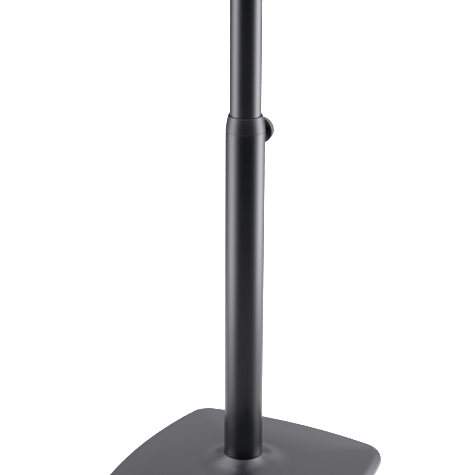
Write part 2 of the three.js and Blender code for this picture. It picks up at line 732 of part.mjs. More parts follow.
// A plate outline with its own corner radius above and below.
function plateShape(halfWidth, low, high, lowR, highR) {
  const shape = new THREE.Shape();
  shape.absarc(halfWidth - lowR, low + lowR, lowR, -QUARTER, 0);
  shape.absarc(halfWidth - highR, high - highR, highR, 0, QUARTER);
  shape.absarc(-halfWidth + highR, high - highR, highR, QUARTER, 2 * QUARTER);
  shape.absarc(-halfWidth + lowR, low + lowR, lowR, 2 * QUARTER, 3 * QUARTER);
  return shape;
}

function extruded(shape, low, high, curveSegments = CORNER_FACETS) {
  const options = { depth: high - low, bevelEnabled: false, curveSegments };
  return new THREE.ExtrudeGeometry(shape, options).translate(0, 0, low);
}

// Shelf and lip seen from the side, with the desk's z as the drawing's x: the bend at the foot of the
// sheet, the shelf running forward, and the lip turned up at its front.
function shelfShape() {
  const outer = BEND_R + SHEET;
  const centreY = DESK_BOTTOM + BEND_R;
  const lipTop = DESK_BOTTOM + LIP_HEIGHT;
  const shape = new THREE.Shape();
  shape.absarc(DESK_BACK + outer, centreY, outer, 2 * QUARTER, 3 * QUARTER);
  shape.absarc(SHELF_FRONT - outer, centreY, outer, 3 * QUARTER, TAU);
  shape.lineTo(SHELF_FRONT, lipTop);
  shape.lineTo(SHELF_FRONT - SHEET, lipTop);
  shape.absarc(SHELF_FRONT - outer, centreY, BEND_R, 0, -QUARTER, true);
  shape.absarc(DESK_BACK + outer, centreY, BEND_R, 3 * QUARTER, 2 * QUARTER, true);
  return shape;
}

// The upright part of the desk: a sheet whose edges are folded back, open along its foot.
function deskPan() {
  const half = DESK_WIDTH / 2;
  const foot = DESK_BOTTOM + BEND_R - WELD;
  const rimBack = DESK_BACK - RIM_DEPTH;
  const outside = plateShape(half, foot, DESK_TOP, CUT_CORNER_R, DESK_CORNER_R);
  const inside = plateShape(
    half - SHEET,
    foot - THROUGH,
    DESK_TOP - SHEET,
    CUT_CORNER_R,
    DESK_CORNER_R - SHEET,
  );
  return cut(extruded(outside, rimBack, DESK_FACE), extruded(inside, rimBack - THROUGH, DESK_BACK));
}

function deskPanel() {
  const half = DESK_WIDTH / 2;
  const lipTop = DESK_BOTTOM + LIP_HEIGHT;
  const folded = extruded(shelfShape(), -half, half, BEND_STEPS).rotateY(-QUARTER);
  const trimmed = plateShape(half, DESK_BOTTOM - SHEET, lipTop, CUT_CORNER_R, LIP_CORNER_R);
  const shelf = common(folded, extruded(trimmed, 0, SHELF_FRONT + THROUGH));
  return cut(join(deskPan(), shelf), ...studHoles());
}
place("desk_panel", deskPanel(), powderCoat, desk);

// A flat plate with the pivot eye standing on its back.
function deskBracket() {
  const eyeTop = PLATE_BACK + SINK;
  const footHalf = 2 * DISC_R;
  const eye = join(
    alongX(rod(DISC_R, -EYE_HALF, EYE_HALF, WHEEL_SEGMENTS)),
    block(-EYE_HALF, EYE_HALF, -DISC_R, DISC_R, 0, eyeTop),
    block(-EYE_HALF, EYE_HALF, -footHalf, footHalf, PLATE_BACK - EYE_FOOT_DEPTH, eyeTop),
  );
  const plate = plateShape(
    PLATE_HALF_WIDTH,
    -PLATE_HALF_HEIGHT,
    PLATE_HALF_HEIGHT,
    PLATE_CORNER_R,
    PLATE_CORNER_R,
  );
  return cut(
    join(extruded(plate, PLATE_BACK, PLATE_FRONT), eye),
    alongX(rod(TILT_BOLT_R + GAP, -LOWER_R, LOWER_R)),
    ...studHoles(),
  );
}
place("desk_bracket", deskBracket(), powderCoat, desk);

// Domed screw heads on the reading face, nuts behind the bracket.
const nutTop = PLATE_BACK - GAP;
const nutBottom = nutTop - STUD_NUT_HEIGHT;
for (const [where, x, y] of studPlaces) {
  const fixing = new THREE.Group();
  fixing.position.set(x, y, 0);
  desk.add(fixing);
  const head = turned(STUD_HEAD.map(([radius, above]) => [radius, DESK_FACE + above]), SMALL_SEGMENTS);
  const shank = rod(STUD_R, nutBottom - STUD_PAST_NUT, DESK_FACE + SINK, PIN_SEGMENTS);
  place(`desk_screw_${where}`, join(head, shank), blackSteel, fixing);
  place(`desk_nut_${where}`, cut(rod(STUD_NUT_R, nutBottom, nutTop, HEX), studHole()), zincSteel, fixing);
}

const padHalf = DESK_WIDTH / 2 - PAD_INSET;
const padBottom = DESK_BOTTOM + GAP;
const shelfPad = block(
  -padHalf,
  padHalf,
  padBottom,
  padBottom + PAD_THICKNESS,
  DESK_FACE + PAD_MARGIN,
  SHELF_FRONT - SHEET - PAD_MARGIN,
);
place("shelf_pad", shelfPad, rubber, desk);

export default root;
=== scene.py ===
import json
import math

import bmesh
import bpy
from mathutils import Matrix, Vector


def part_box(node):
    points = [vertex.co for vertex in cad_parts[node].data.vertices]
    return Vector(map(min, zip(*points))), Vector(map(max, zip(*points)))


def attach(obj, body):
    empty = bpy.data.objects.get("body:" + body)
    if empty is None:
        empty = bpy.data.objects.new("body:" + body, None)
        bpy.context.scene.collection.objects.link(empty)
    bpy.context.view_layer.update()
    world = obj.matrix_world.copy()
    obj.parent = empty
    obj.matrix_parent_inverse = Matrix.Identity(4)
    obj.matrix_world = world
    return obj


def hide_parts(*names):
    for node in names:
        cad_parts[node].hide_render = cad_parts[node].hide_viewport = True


bl_info = {
    "name": "Music Stand",
    "version": (1, 0, 0),
    "blender": (4, 5, 0),
    "location": "View3D > Sidebar > Stand",
    "description": "Builds the finished pieces and the studio of a column music stand on its packed frame",
    "category": "Add Mesh",
}

# Lengths are metres in the frame's own axes: +Z up, the floor at z = 0, the column on the Z axis and the
# reader at -Y.
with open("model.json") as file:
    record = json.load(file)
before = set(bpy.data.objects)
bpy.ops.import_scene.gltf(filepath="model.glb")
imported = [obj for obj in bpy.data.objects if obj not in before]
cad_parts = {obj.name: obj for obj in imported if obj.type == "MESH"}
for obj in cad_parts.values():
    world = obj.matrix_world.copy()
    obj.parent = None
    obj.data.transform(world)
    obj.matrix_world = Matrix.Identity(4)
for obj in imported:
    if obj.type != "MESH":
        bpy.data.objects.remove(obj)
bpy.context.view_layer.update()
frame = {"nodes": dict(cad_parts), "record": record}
TAU = math.tau
SMOOTH_ANGLE = math.radians(32)
BEVEL_ANGLE = math.radians(40)
FLAT_ANGLE = math.radians(0.5)
ON_AXIS = 1e-7  # a point nearer to the axis than this is a pole, and closer points are one
NODE_MERGE = 2e-6
GAP = 0.0003  # clearance between pieces that fit into each other
KNOB_STEPS = 96
FINE_STEPS = 64
SMALL_STEPS = 48
SCREW_STEPS = 32


def lowest(node):
    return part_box(node)[0]


def highest(node):
    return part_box(node)[1]


def middle(node):
    low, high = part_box(node)
    return (low + high) / 2


LOWER_R = highest("lower_tube").x
UPPER_R = highest("upper_tube").x
RING_Z = highest("base_casting").z
SEAM_Z = highest("lower_tube").z
CLAMP = Vector((0, 0, middle("clamp_knob").z))
PIVOT = Vector((0, 0, middle("tilt_knob").z))


# ------------------------------------------------------------------ settings
def length(name, description, default):
    return bpy.props.FloatProperty(
        name=name, description=description, default=default, unit="LENGTH", precision=4
    )


def colour(name, description, default):
    return bpy.props.FloatVectorProperty(
        name=name, description=description, default=default, subtype="COLOR", size=3, min=0, max=1
    )


def share(name, description, default):
    return bpy.props.FloatProperty(name=name, description=description, default=default, subtype="FACTOR")


def angle(name, description, default):
    return bpy.props.FloatProperty(
        name=name, description=description, default=math.radians(default), subtype="ANGLE"
    )


class STAND_PG_sizes(bpy.types.PropertyGroup):
    side_bulge: length("Side bulge", "How far each side of the base swells past a straight one", 0.025)
    corner_r: length("Base corner", "Radius of the base's corners in plan", 0.040)
    edge_r: length("Base edge", "Rounding between the base's rim and its top", 0.016)
    edge_top: length("Edge height", "Height where the rounded edge meets the top of the base", 0.0247)
    crown: length("Crown", "Rise of the base's top from the edge to the flare", 0.009)
    flare_r: length("Flare", "Radius where the flare round the column begins", 0.078)
    flare_power: bpy.props.FloatProperty(
        name="Flare power",
        description="How sharply the flare steepens towards the column",
        default=2.4,
        min=1,
    )
    casting_wall: length("Casting wall", "Thickness of the base casting's top", 0.0075)
    rim_wall: length("Rim wall", "Thickness of the base casting's rim", 0.009)
    tube_wall: length("Tube wall", "Wall thickness of both column tubes", 0.002)
    desk_tilt: angle("Desk tilt", "How far the desk leans back from upright in the frame", 25)
    sheet: length("Desk sheet", "Thickness of the desk's steel sheet", 0.002)
    desk_corner: length("Desk corner", "Radius of the desk's upper corners", 0.024)
    round_steps: bpy.props.IntProperty(
        name="Round steps", description="Sides of a large round piece", default=128, min=24
    )


class STAND_PG_finishes(bpy.types.PropertyGroup):
    coat: colour("Powder coat", "Satin black coat of the base, column and desk", (0.0014, 0.0018, 0.0030))
    coat_roughness: share("Coat roughness", "Roughness of the powder coat", 0.25)
    collar: colour("Collar", "Moulded collar", (0.0014, 0.0018, 0.0030))
    knob: colour("Knobs", "Moulded knobs", (0.005, 0.005, 0.0055))
    rubber: colour("Rubber", "Feet and shelf strip", (0.012, 0.012, 0.013))
    steel: colour("Zinc", "Plated fasteners", (0.56, 0.57, 0.6))
    nylon: colour("Nylon", "Guide ring, discs and shoe", (0.72, 0.7, 0.62))
    brass: colour("Brass", "Knob insert", (0.64, 0.45, 0.16))
    black_steel: colour("Blackened steel", "Desk screws", (0.02, 0.02, 0.022))


class STAND_PG_stage(bpy.types.PropertyGroup):
    azimuth: angle("Azimuth", "Direction of the camera round the column", 27.2)
    distance: length("Distance", "From the column's axis to the camera, along the floor", 2.648)
    height: length("Height", "Camera height over the top of the base's flare", 1.348)
    pitch: angle("Pitch", "How far the camera looks down", 20.43)
    yaw: angle("Yaw", "How far the camera looks to the left of the column", 0.234)
    roll: angle("Roll", "Turn of the camera about its own line of sight", 0.30)
    lens: bpy.props.FloatProperty(name="Lens", description="Focal length on a 36 mm sensor", default=141.2)
    floor: colour("Floor", "Pale studio floor", (0.9, 0.9, 0.9))
    floor_size: length("Floor size", "Side of the square floor", 60.0)


def sizes():
    return bpy.context.scene.stand_sizes


def finishes():
    return bpy.context.scene.stand_finishes


# ------------------------------------------------------------------ shader expressions
class Sock:
    """A shader socket that can be written in arithmetic; each operator adds one Math node."""

    def __init__(self, graph, socket):
        self.graph = graph
        self.socket = socket

    def _math(self, operation, *values):
        return self.graph.node("ShaderNodeMath", {"operation": operation}, dict(enumerate(values)))

    def __add__(self, other):
        return self._math("ADD", self, other)

    def __radd__(self, other):
        return self._math("ADD", other, self)

    def __sub__(self, other):
        return self._math("SUBTRACT", self, other)

    def __rsub__(self, other):
        return self._math("SUBTRACT", other, self)

    def __mul__(self, other):
        return self._math("MULTIPLY", self, other)

    def __rmul__(self, other):
        return self._math("MULTIPLY", other, self)

    def __truediv__(self, other):
        return self._math("DIVIDE", self, other)

    def __rtruediv__(self, other):
        return self._math("DIVIDE", other, self)

    def at_least(self, other):
        return self._math("MAXIMUM", self, other)

    def at_most(self, other):
        return self._math("MINIMUM", self, other)

    def clamped(self):
        return self.at_least(0.0).at_most(1.0)

    def angle_from(self, other):
        return self._math("ARCTAN2", self, other)

    def exponential(self):
        return self._math("EXPONENT", self)

    def smooth(self, low, high):
        """0 under low, 1 over high, eased between."""
        settings = {"interpolation_type": "SMOOTHSTEP"}
        inputs = {"Value": self, "From Min": low, "From Max": high}
        return self.graph.node("ShaderNodeMapRange", settings, inputs)


class Graph:
    """A node tree being filled in."""

    def __init__(self, tree):
        self.tree = tree
        self.tree.nodes.clear()

    def node(self, kind, settings=None, inputs=None, output=0):
        """One node of any type: its settings first, then the values or links of its sockets."""
        made = self.tree.nodes.new(kind)
        for name, value in (settings or {}).items():
            setattr(made, name, value)
        for key, value in (inputs or {}).items():
            if isinstance(value, Sock):
                self.tree.links.new(value.socket, made.inputs[key])
            else:
                made.inputs[key].default_value = value
        return Sock(self, made.outputs[output]) if made.outputs else made

    def place(self):
        return self.node("ShaderNodeTexCoord", output="Object")

    def stretched(self, scale):
        return self.node("ShaderNodeMapping", None, {"Vector": self.place(), "Scale": scale})

    def noise(self, vector, scale, detail=2.0, roughness=0.5):
        inputs = {"Vector": vector, "Scale": scale, "Detail": detail, "Roughness": roughness}
        return self.node("ShaderNodeTexNoise", None, inputs)

    def axes(self, vector):
        """The three parts of a vector."""
        split = self.node("ShaderNodeSeparateXYZ", None, {0: vector}).socket.node
        return [Sock(self, part) for part in split.outputs]

    def height(self):
        return self.axes(self.place())[2]

    def tint(self, mask, low, high):
        """A colour between low and high."""
        settings = {"data_type": "RGBA", "clamp_factor": True}
        inputs = {"Factor": mask, 6: (*low, 1), 7: (*high, 1)}  # 6, 7 and output 2 are Mix's colour sockets
        return self.node("ShaderNodeMix", settings, inputs, output=2)

    def bump(self, height, distance, strength=1.0):
        inputs = {"Height": height, "Distance": distance, "Strength": strength}
        return self.node("ShaderNodeBump", None, inputs)

    def surface(self, values):
        shader = self.node("ShaderNodeBsdfPrincipled", None, values)
        self.node("ShaderNodeOutputMaterial", None, {"Surface": shader})


def material(name):
    made = bpy.data.materials.new(name)
    made.use_nodes = True
    return made, Graph(made.node_tree)


def scaled(colour_value, factor):
    return tuple(min(1.0, channel * factor) for channel in colour_value)


def powder_coat_finish():
    made, g = material("powder_coat")
    f = finishes()
    peel = g.noise(g.place(), 700.0, 1.5)
    grain = g.noise(g.place(), 2600.0, 2.0)
    cloud = g.noise(g.place(), 5.0, 3.0)
    rub = g.noise(g.stretched((180.0, 180.0, 3.0)), 1.0, 3.0)
    marks = g.noise(g.place(), 60.0, 5.0, 0.65).smooth(0.56, 0.74)
    scuff = (marks * (1 - g.height().smooth(0.004, 0.011))).clamped()
    dust = cloud.smooth(0.4, 0.8) * 0.5 + scuff
    g.surface({
        "Base Color": g.tint(dust.clamped(), f.coat, scaled(f.coat, 2.2)),
        "Roughness": f.coat_roughness - 0.03 + cloud * 0.05 + rub * 0.03 + scuff * 0.2,
        "Normal": g.bump(peel + grain * 0.35, 0.00002, 0.5),
        "Specular IOR Level": 0.5,
    })
    return made


def moulded_finish(name, base, roughness, grain_scale, grain_depth):
    made, g = material(name)
    spark = g.noise(g.place(), grain_scale, 3.0, 0.6)
    flow = g.noise(g.stretched((14.0, 14.0, 30.0)), 1.0, 2.0)
    handled = g.noise(g.place(), 90.0, 4.0).smooth(0.5, 0.75)
    g.surface({
        "Base Color": g.tint(flow.smooth(0.35, 0.7), base, scaled(base, 1.5)),
        "Roughness": roughness + flow * 0.06 - handled * 0.05,
        "Normal": g.bump(spark, grain_depth, 0.6),
    })
    return made


def rubber_finish():
    made, g = material("rubber")
    base = finishes().rubber
    bloom = g.noise(g.place(), 35.0, 4.0).smooth(0.45, 0.75)
    pores = g.noise(g.place(), 1800.0, 3.0, 0.7)
    g.surface({
        "Base Color": g.tint(bloom, base, scaled(base, 2.4)),
        "Roughness": 0.72 + bloom * 0.12,
        "Normal": g.bump(pores, 0.00006, 0.7),
    })
    return made


def metal_finish(name, base, roughness, stretch):
    made, g = material(name)
    lines = g.noise(g.stretched(stretch), 1.0, 4.0, 0.6)
    blotch = g.noise(g.place(), 220.0, 3.0).smooth(0.4, 0.75)
    g.surface({
        "Base Color": g.tint(blotch, base, scaled(base, 0.82)),
        "Metallic": 1.0,
        "Roughness": roughness + lines * 0.12 + blotch * 0.06,
        "Normal": g.bump(lines, 0.00001, 0.6),
    })
    return made


def nylon_finish():
    made, g = material("nylon")
    base = finishes().nylon
    mottle = g.noise(g.place(), 50.0, 3.0)
    g.surface({
        "Base Color": g.tint(mottle.smooth(0.3, 0.7), base, scaled(base, 0.86)),
        "Roughness": 0.48 + mottle * 0.1,
        "Normal": g.bump(g.noise(g.place(), 900.0, 2.0), 0.00003, 0.5),
    })
    return made


def black_steel_finish():
    made, g = material("black_steel")
    base = finishes().black_steel
    worn = g.noise(g.place(), 380.0, 4.0, 0.65).smooth(0.6, 0.8)
    g.surface({
        "Base Color": g.tint(worn, base, scaled(base, 4.0)),
        "Metallic": 0.7,
        "Roughness": 0.34 + worn * 0.12,
        "Normal": g.bump(g.noise(g.place(), 1500.0, 2.0), 0.00002, 0.5),
    })
    return made


def make_finishes():
    f = finishes()
    for plain in list(bpy.data.materials):
        bpy.data.materials.remove(plain)
    made = [
        powder_coat_finish(),
        moulded_finish("collar_plastic", f.collar, 0.30, 1600.0, 0.00003),
        moulded_finish("knob_plastic", f.knob, 0.36, 2200.0, 0.00002),
        rubber_finish(),
        metal_finish("zinc_steel", f.steel, 0.26, (260.0, 260.0, 900.0)),
        metal_finish("brass", f.brass, 0.24, (900.0, 260.0, 260.0)),
        nylon_finish(),
        black_steel_finish(),
    ]
    by_slot = {m.name: m for m in made}
    for part in frame["record"]["subparts"]:
        mesh = frame["nodes"][part["node"]].data
        mesh.materials.clear()
        mesh.materials.append(by_slot[part["material_slot"]])


class STAND_OT_finishes(bpy.types.Operator):
    """Makes one material for each slot of the record, and gives them to the frame's own nodes"""

    bl_idname = "stand.finishes"
    bl_label = "Finishes"

    def execute(self, context):
        make_finishes()
        return {"FINISHED"}


# ------------------------------------------------------------------ mesh building
def skin(bm, rings, closed=False):
    """Quads through rings of equal counts; a one-point ring is a pole, closed joins the last to the first."""
    made = [[bm.verts.new(p) for p in ring] for ring in rings]
    pairs = list(zip(made, made[1:]))
    if closed:
        pairs.append((made[-1], made[0]))
    for low, high in pairs:
        count = max(len(low), len(high))
        for i in range(count):
            j = (i + 1) % count
            corners = [low[i % len(low)], low[j % len(low)], high[j % len(high)], high[i % len(high)]]
            distinct = list(dict.fromkeys(corners))
            bm.faces.new(distinct)


def rounded(points, steps=4):
    """A profile of points (radius, height, rounding), each corner rounded that has a rounding."""
    done = []
    count = len(points)
    for i, (r, h, *turn) in enumerate(points):
        here = Vector((r, h))
        size = turn[0] if turn else 0
        before = Vector(points[(i - 1) % count][:2]) - here
        after = Vector(points[(i + 1) % count][:2]) - here
        if not size or min(before.length, after.length) < ON_AXIS:
            done.append(here)
            continue
        half = before.angle(after) / 2
        reach = min(size / math.tan(half), before.length / 2.01, after.length / 2.01)
        start = here + before.normalized() * reach
        end = here + after.normalized() * reach
        for k in range(steps + 1):
            t = k / steps
            done.append(start * (1 - t) ** 2 + here * 2 * t * (1 - t) + end * t * t)
    return done


def turn_profile(bm, points, steps, place=None):
    """Revolves a profile about Z; it closes on itself unless it starts and ends on the axis."""
    place = place or Matrix.Identity(4)
    rings = []
    for r, h in points:
        if r < ON_AXIS:
            rings.append([place @ Vector((0, 0, h))])
            continue
        rings.append([
            place @ Vector((r * math.cos(TAU * i / steps), r * math.sin(TAU * i / steps), h))
            for i in range(steps)
        ])
    on_axis = max(points[0][0], points[-1][0]) < ON_AXIS
    skin(bm, rings, closed=not on_axis)


def hex_outline(across, steps):
    """Radius of a hexagon at each step round it."""
    sector = TAU / 6
    return [across / 2 / math.cos((TAU * i / steps) % sector - sector / 2) for i in range(steps)]


def hex_body(bm, across, low, high, place=None, bore=0.0, both=False):
    """A hexagon head or nut with chamfered corners on its high side, or on both sides."""
    steps = SMALL_STEPS
    place = place or Matrix.Identity(4)
    radii = hex_outline(across, steps)
    inner = across * 0.475
    drop = [max(0.0, r - inner) * math.tan(TAU / 12) for r in radii]

    def ring(values, heights):
        return [
            place @ Vector((r * math.cos(TAU * i / steps), r * math.sin(TAU * i / steps), h))
            for i, (r, h) in enumerate(zip(values, heights))
        ]

    foot = [low + d for d in drop] if both else [low] * steps
    rings = [ring([inner] * steps, [low] * steps), ring(radii, foot)]
    rings += [ring(radii, [high - d for d in drop]), ring([inner] * steps, [high] * steps)]
    if bore:
        chamfer = bore * 0.12
        rings.append(ring([bore + chamfer] * steps, [high] * steps))
        rings.append(ring([bore] * steps, [high - chamfer] * steps))
        rings.append(ring([bore] * steps, [low + chamfer] * steps))
        rings.append(ring([bore + chamfer] * steps, [low] * steps))
        skin(bm, rings, closed=True)
    else:
        skin(bm, [[place @ Vector((0, 0, low))], *rings, [place @ Vector((0, 0, high))]])


def make_object(name, bm, finish):
    """Turns a bmesh into an object with faces outwards, smooth but for its sharp edges."""
    bmesh.ops.remove_doubles(bm, verts=bm.verts, dist=ON_AXIS)
    bmesh.ops.recalc_face_normals(bm, faces=bm.faces)
    mesh = bpy.data.meshes.new(name)
    bm.to_mesh(mesh)
    bm.free()
    mesh.materials.append(bpy.data.materials[finish])
    mesh.shade_smooth()
    mesh.set_sharp_from_angle(angle=SMOOTH_ANGLE)
    made = bpy.data.objects.new(name, mesh)
    bpy.context.scene.collection.objects.link(made)
    return made


def applied(obj):
    """Replaces an object's mesh by its evaluated one, and drops its modifiers."""
    graph = bpy.context.evaluated_depsgraph_get()
    graph.update()
    mesh = bpy.data.meshes.new_from_object(obj.evaluated_get(graph))
    obj.modifiers.clear()
    obj.data = mesh
    return obj


def bevelled(obj, width, steps=2):
    edge = obj.modifiers.new("Bevel", "BEVEL")
    edge.width = width
    edge.segments = steps
    edge.limit_method = "ANGLE"
    edge.angle_limit = BEVEL_ANGLE
    applied(obj)
    obj.data.shade_smooth()
    obj.data.set_sharp_from_angle(angle=SMOOTH_ANGLE)
    return obj


def refined(name, node, width, finish):
    """A merged copy of a node, its flat faces joined up and its edges broken."""
    bm = bmesh.new()
    bm.from_mesh(frame["nodes"][node].data)
    bmesh.ops.remove_doubles(bm, verts=bm.verts, dist=NODE_MERGE)
    bmesh.ops.dissolve_limit(bm, angle_limit=FLAT_ANGLE, verts=bm.verts, edges=bm.edges)
    return bevelled(make_object(name, bm, finish), width)


def cut_away(obj, *cutters):
    """Booleans the cutters out of an object and removes them."""
    for cutter in cutters:
        hole = obj.modifiers.new("Cut", "BOOLEAN")
        hole.operation = "DIFFERENCE"
        hole.object = cutter
        hole.solver = "EXACT"
    applied(obj)
    obj.data.set_sharp_from_angle(angle=SMOOTH_ANGLE)
    for cutter in cutters:
        bpy.data.objects.remove(cutter)
    return obj


def settle(obj, body, slot, *nodes):
    """Puts a finished piece on its body, in place of the nodes it stands for."""
    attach(obj, body)
    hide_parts(*nodes)
    return obj


def turned_piece(name, profile, body, slot, node, steps=FINE_STEPS, place=None):
    bm = bmesh.new()
    turn_profile(bm, profile, steps, place)
    return settle(make_object(name, bm, slot), body, slot, node)


def along_y(origin):
    return Matrix.Translation(origin) @ Matrix.Rotation(-TAU / 4, 4, "X")


def along_x(origin, sign=1):
    return Matrix.Translation(origin) @ Matrix.Rotation(sign * TAU / 4, 4, "Y")


# ------------------------------------------------------------------ geometry nodes
class Recipe:
    """A Geometry Nodes tree being filled in, with its inputs named."""

    def __init__(self, name, inputs):
        self.tree = bpy.data.node_groups.new(name, "GeometryNodeTree")
        face = self.tree.interface
        face.new_socket("Geometry", in_out="INPUT", socket_type="NodeSocketGeometry")
        for label, kind in inputs.items():
            face.new_socket(label, in_out="INPUT", socket_type=f"NodeSocket{kind}")
        face.new_socket("Material", in_out="INPUT", socket_type="NodeSocketMaterial")
        face.new_socket("Geometry", in_out="OUTPUT", socket_type="NodeSocketGeometry")
        self.given = self.tree.nodes.new("NodeGroupInput").outputs

    def node(self, kind, inputs=None, **settings):
        """One node: its settings, then the values or links of its sockets; returns its first output."""
        made = self.tree.nodes.new(kind)
        for name, value in settings.items():
            setattr(made, name, value)
        for key, value in (inputs or {}).items():
            if isinstance(value, bpy.types.NodeSocket):
                self.tree.links.new(value, made.inputs[key])
            else:
                made.inputs[key].default_value = value
        return made.outputs[0]

    def math(self, operation, first, second):
        return self.node("ShaderNodeMath", {0: first, 1: second}, operation=operation)

    def finish(self, geometry):
        """Ends the tree: real geometry with its material."""
        real = self.node("GeometryNodeRealizeInstances", {"Geometry": geometry})
        finish = {"Geometry": real, "Material": self.given["Material"]}
        coated = self.node("GeometryNodeSetMaterial", finish)
        result = self.tree.nodes.new("NodeGroupOutput")
        self.tree.links.new(coated, result.inputs["Geometry"])
        return self.tree


def grid_tree(name):
    """Copies of a part on a grid of places, turned and moved as one: four feet, screws or nuts."""
    inputs = {"Columns": "Int", "Rows": "Int", "Width": "Float", "Depth": "Float"}
    r = Recipe(name, {**inputs, "Offset": "Vector", "Turn": "Vector"})
    size = {"Size X": r.given["Width"], "Size Y": r.given["Depth"]}
    counts = {"Vertices X": r.given["Columns"], "Vertices Y": r.given["Rows"]}
    grid = r.node("GeometryNodeMeshGrid", {**size, **counts})
    copies = r.node("GeometryNodeInstanceOnPoints", {"Points": grid, "Instance": r.given["Geometry"]})
    place = {"Translation": r.given["Offset"], "Rotation": r.given["Turn"]}
    return r.finish(r.node("GeometryNodeTransform", {"Geometry": copies, **place}))


def tube_tree(name):
    """A round tube: its rounded wall section swept along a circle."""
    inputs = {"Radius": "Float", "Wall": "Float", "Bottom": "Float", "Top": "Float", "Edge": "Float"}
    r = Recipe(name, {**inputs, "Steps": "Int", "Edge steps": "Int"})
    half_wall = r.math("MULTIPLY", r.given["Wall"], 0.5)
    middle_radius = r.math("SUBTRACT", r.given["Radius"], half_wall)
    path = {"Resolution": r.given["Steps"], "Radius": middle_radius}
    circle = r.node("GeometryNodeCurvePrimitiveCircle", path)
    rise = r.math("SUBTRACT", r.given["Top"], r.given["Bottom"])
    section = r.node("GeometryNodeCurvePrimitiveQuadrilateral", {"Width": r.given["Wall"], "Height": rise})
    edges = {"Curve": section, "Count": r.given["Edge steps"], "Radius": r.given["Edge"]}
    softened = r.node("GeometryNodeFilletCurve", edges, mode="POLY")
    swept = r.node("GeometryNodeCurveToMesh", {"Curve": circle, "Profile Curve": softened})
    centre = r.math("MULTIPLY", r.math("ADD", r.given["Top"], r.given["Bottom"]), 0.5)
    lift = r.node("ShaderNodeCombineXYZ", {"Z": centre})
    return r.finish(r.node("GeometryNodeTransform", {"Geometry": swept, "Translation": lift}))


TREES = {"Places on a grid": grid_tree, "Round tube": tube_tree}


def grown(obj, name, slot, **values):
    """Runs a tree on an object and keeps the mesh it makes."""
    tree = bpy.data.node_groups.get(name) or TREES[name](name)
    recipe = obj.modifiers.new("Recipe", "NODES")
    recipe.node_group = tree
    values["Material"] = bpy.data.materials[slot]
    for socket in tree.interface.items_tree:
        if socket.in_out == "INPUT" and socket.name in values:
            recipe[socket.identifier] = values[socket.name]
    return applied(obj)


def on_grid(obj, slot, width, depth, offset=(0, 0, 0), turn=(0, 0, 0)):
    """Makes one part into two rows of two."""
    place = {"Width": width, "Depth": depth, "Offset": offset, "Turn": turn}
    return grown(obj, "Places on a grid", slot, Columns=2, Rows=2, **place)


def round_tube(name, slot, radius, wall, low, high, edge):
    """A tube about the column's axis."""
    size = {"Radius": radius, "Wall": wall, "Bottom": low, "Top": high, "Edge": edge, "Edge steps": 3}
    blank = make_object(name, bmesh.new(), slot)
    tube = grown(blank, "Round tube", slot, Steps=sizes().round_steps, **size)
    tube.data.shade_smooth()
    tube.data.set_sharp_from_angle(angle=SMOOTH_ANGLE)
    return tube


def drill(place, radius, low, high, steps=SMALL_STEPS):
    """A round cutter along a placed Z axis."""
    bm = bmesh.new()
    turn_profile(bm, [(0, low), (radius, low), (radius, high), (0, high)], steps, place)
    return make_object("drill", bm, "powder_coat")


# ------------------------------------------------------------------ base
def base_plan(side_steps=24, corner_steps=12):
    """Points of the base's outline with their outward normals: four shallow arcs and four round corners."""
    s = sizes()
    half = highest("base_casting").x
    side_r = (half**2 + s.side_bulge**2) / (2 * s.side_bulge)
    side_centre = half - side_r
    reach = side_r - s.corner_r
    corner = (side_centre + math.sqrt(2 * reach**2 - side_centre**2)) / 2
    spread = math.atan2(corner, corner - side_centre)
    quarter = []
    for i in range(side_steps):
        a = -spread + 2 * spread * i / side_steps
        quarter.append((Vector((side_centre + side_r * math.cos(a), side_r * math.sin(a))), a))
    for i in range(corner_steps):
        a = spread + (TAU / 4 - 2 * spread) * i / corner_steps
        point = Vector((corner + s.corner_r * math.cos(a), corner + s.corner_r * math.sin(a)))
        quarter.append((point, a))
    outline = []
    for q in range(4):
        turn = Matrix.Rotation(q * TAU / 4, 2)
        for point, a in quarter:
            a_turned = a + q * TAU / 4
            outline.append((turn @ point, Vector((math.cos(a_turned), math.sin(a_turned)))))
    return outline


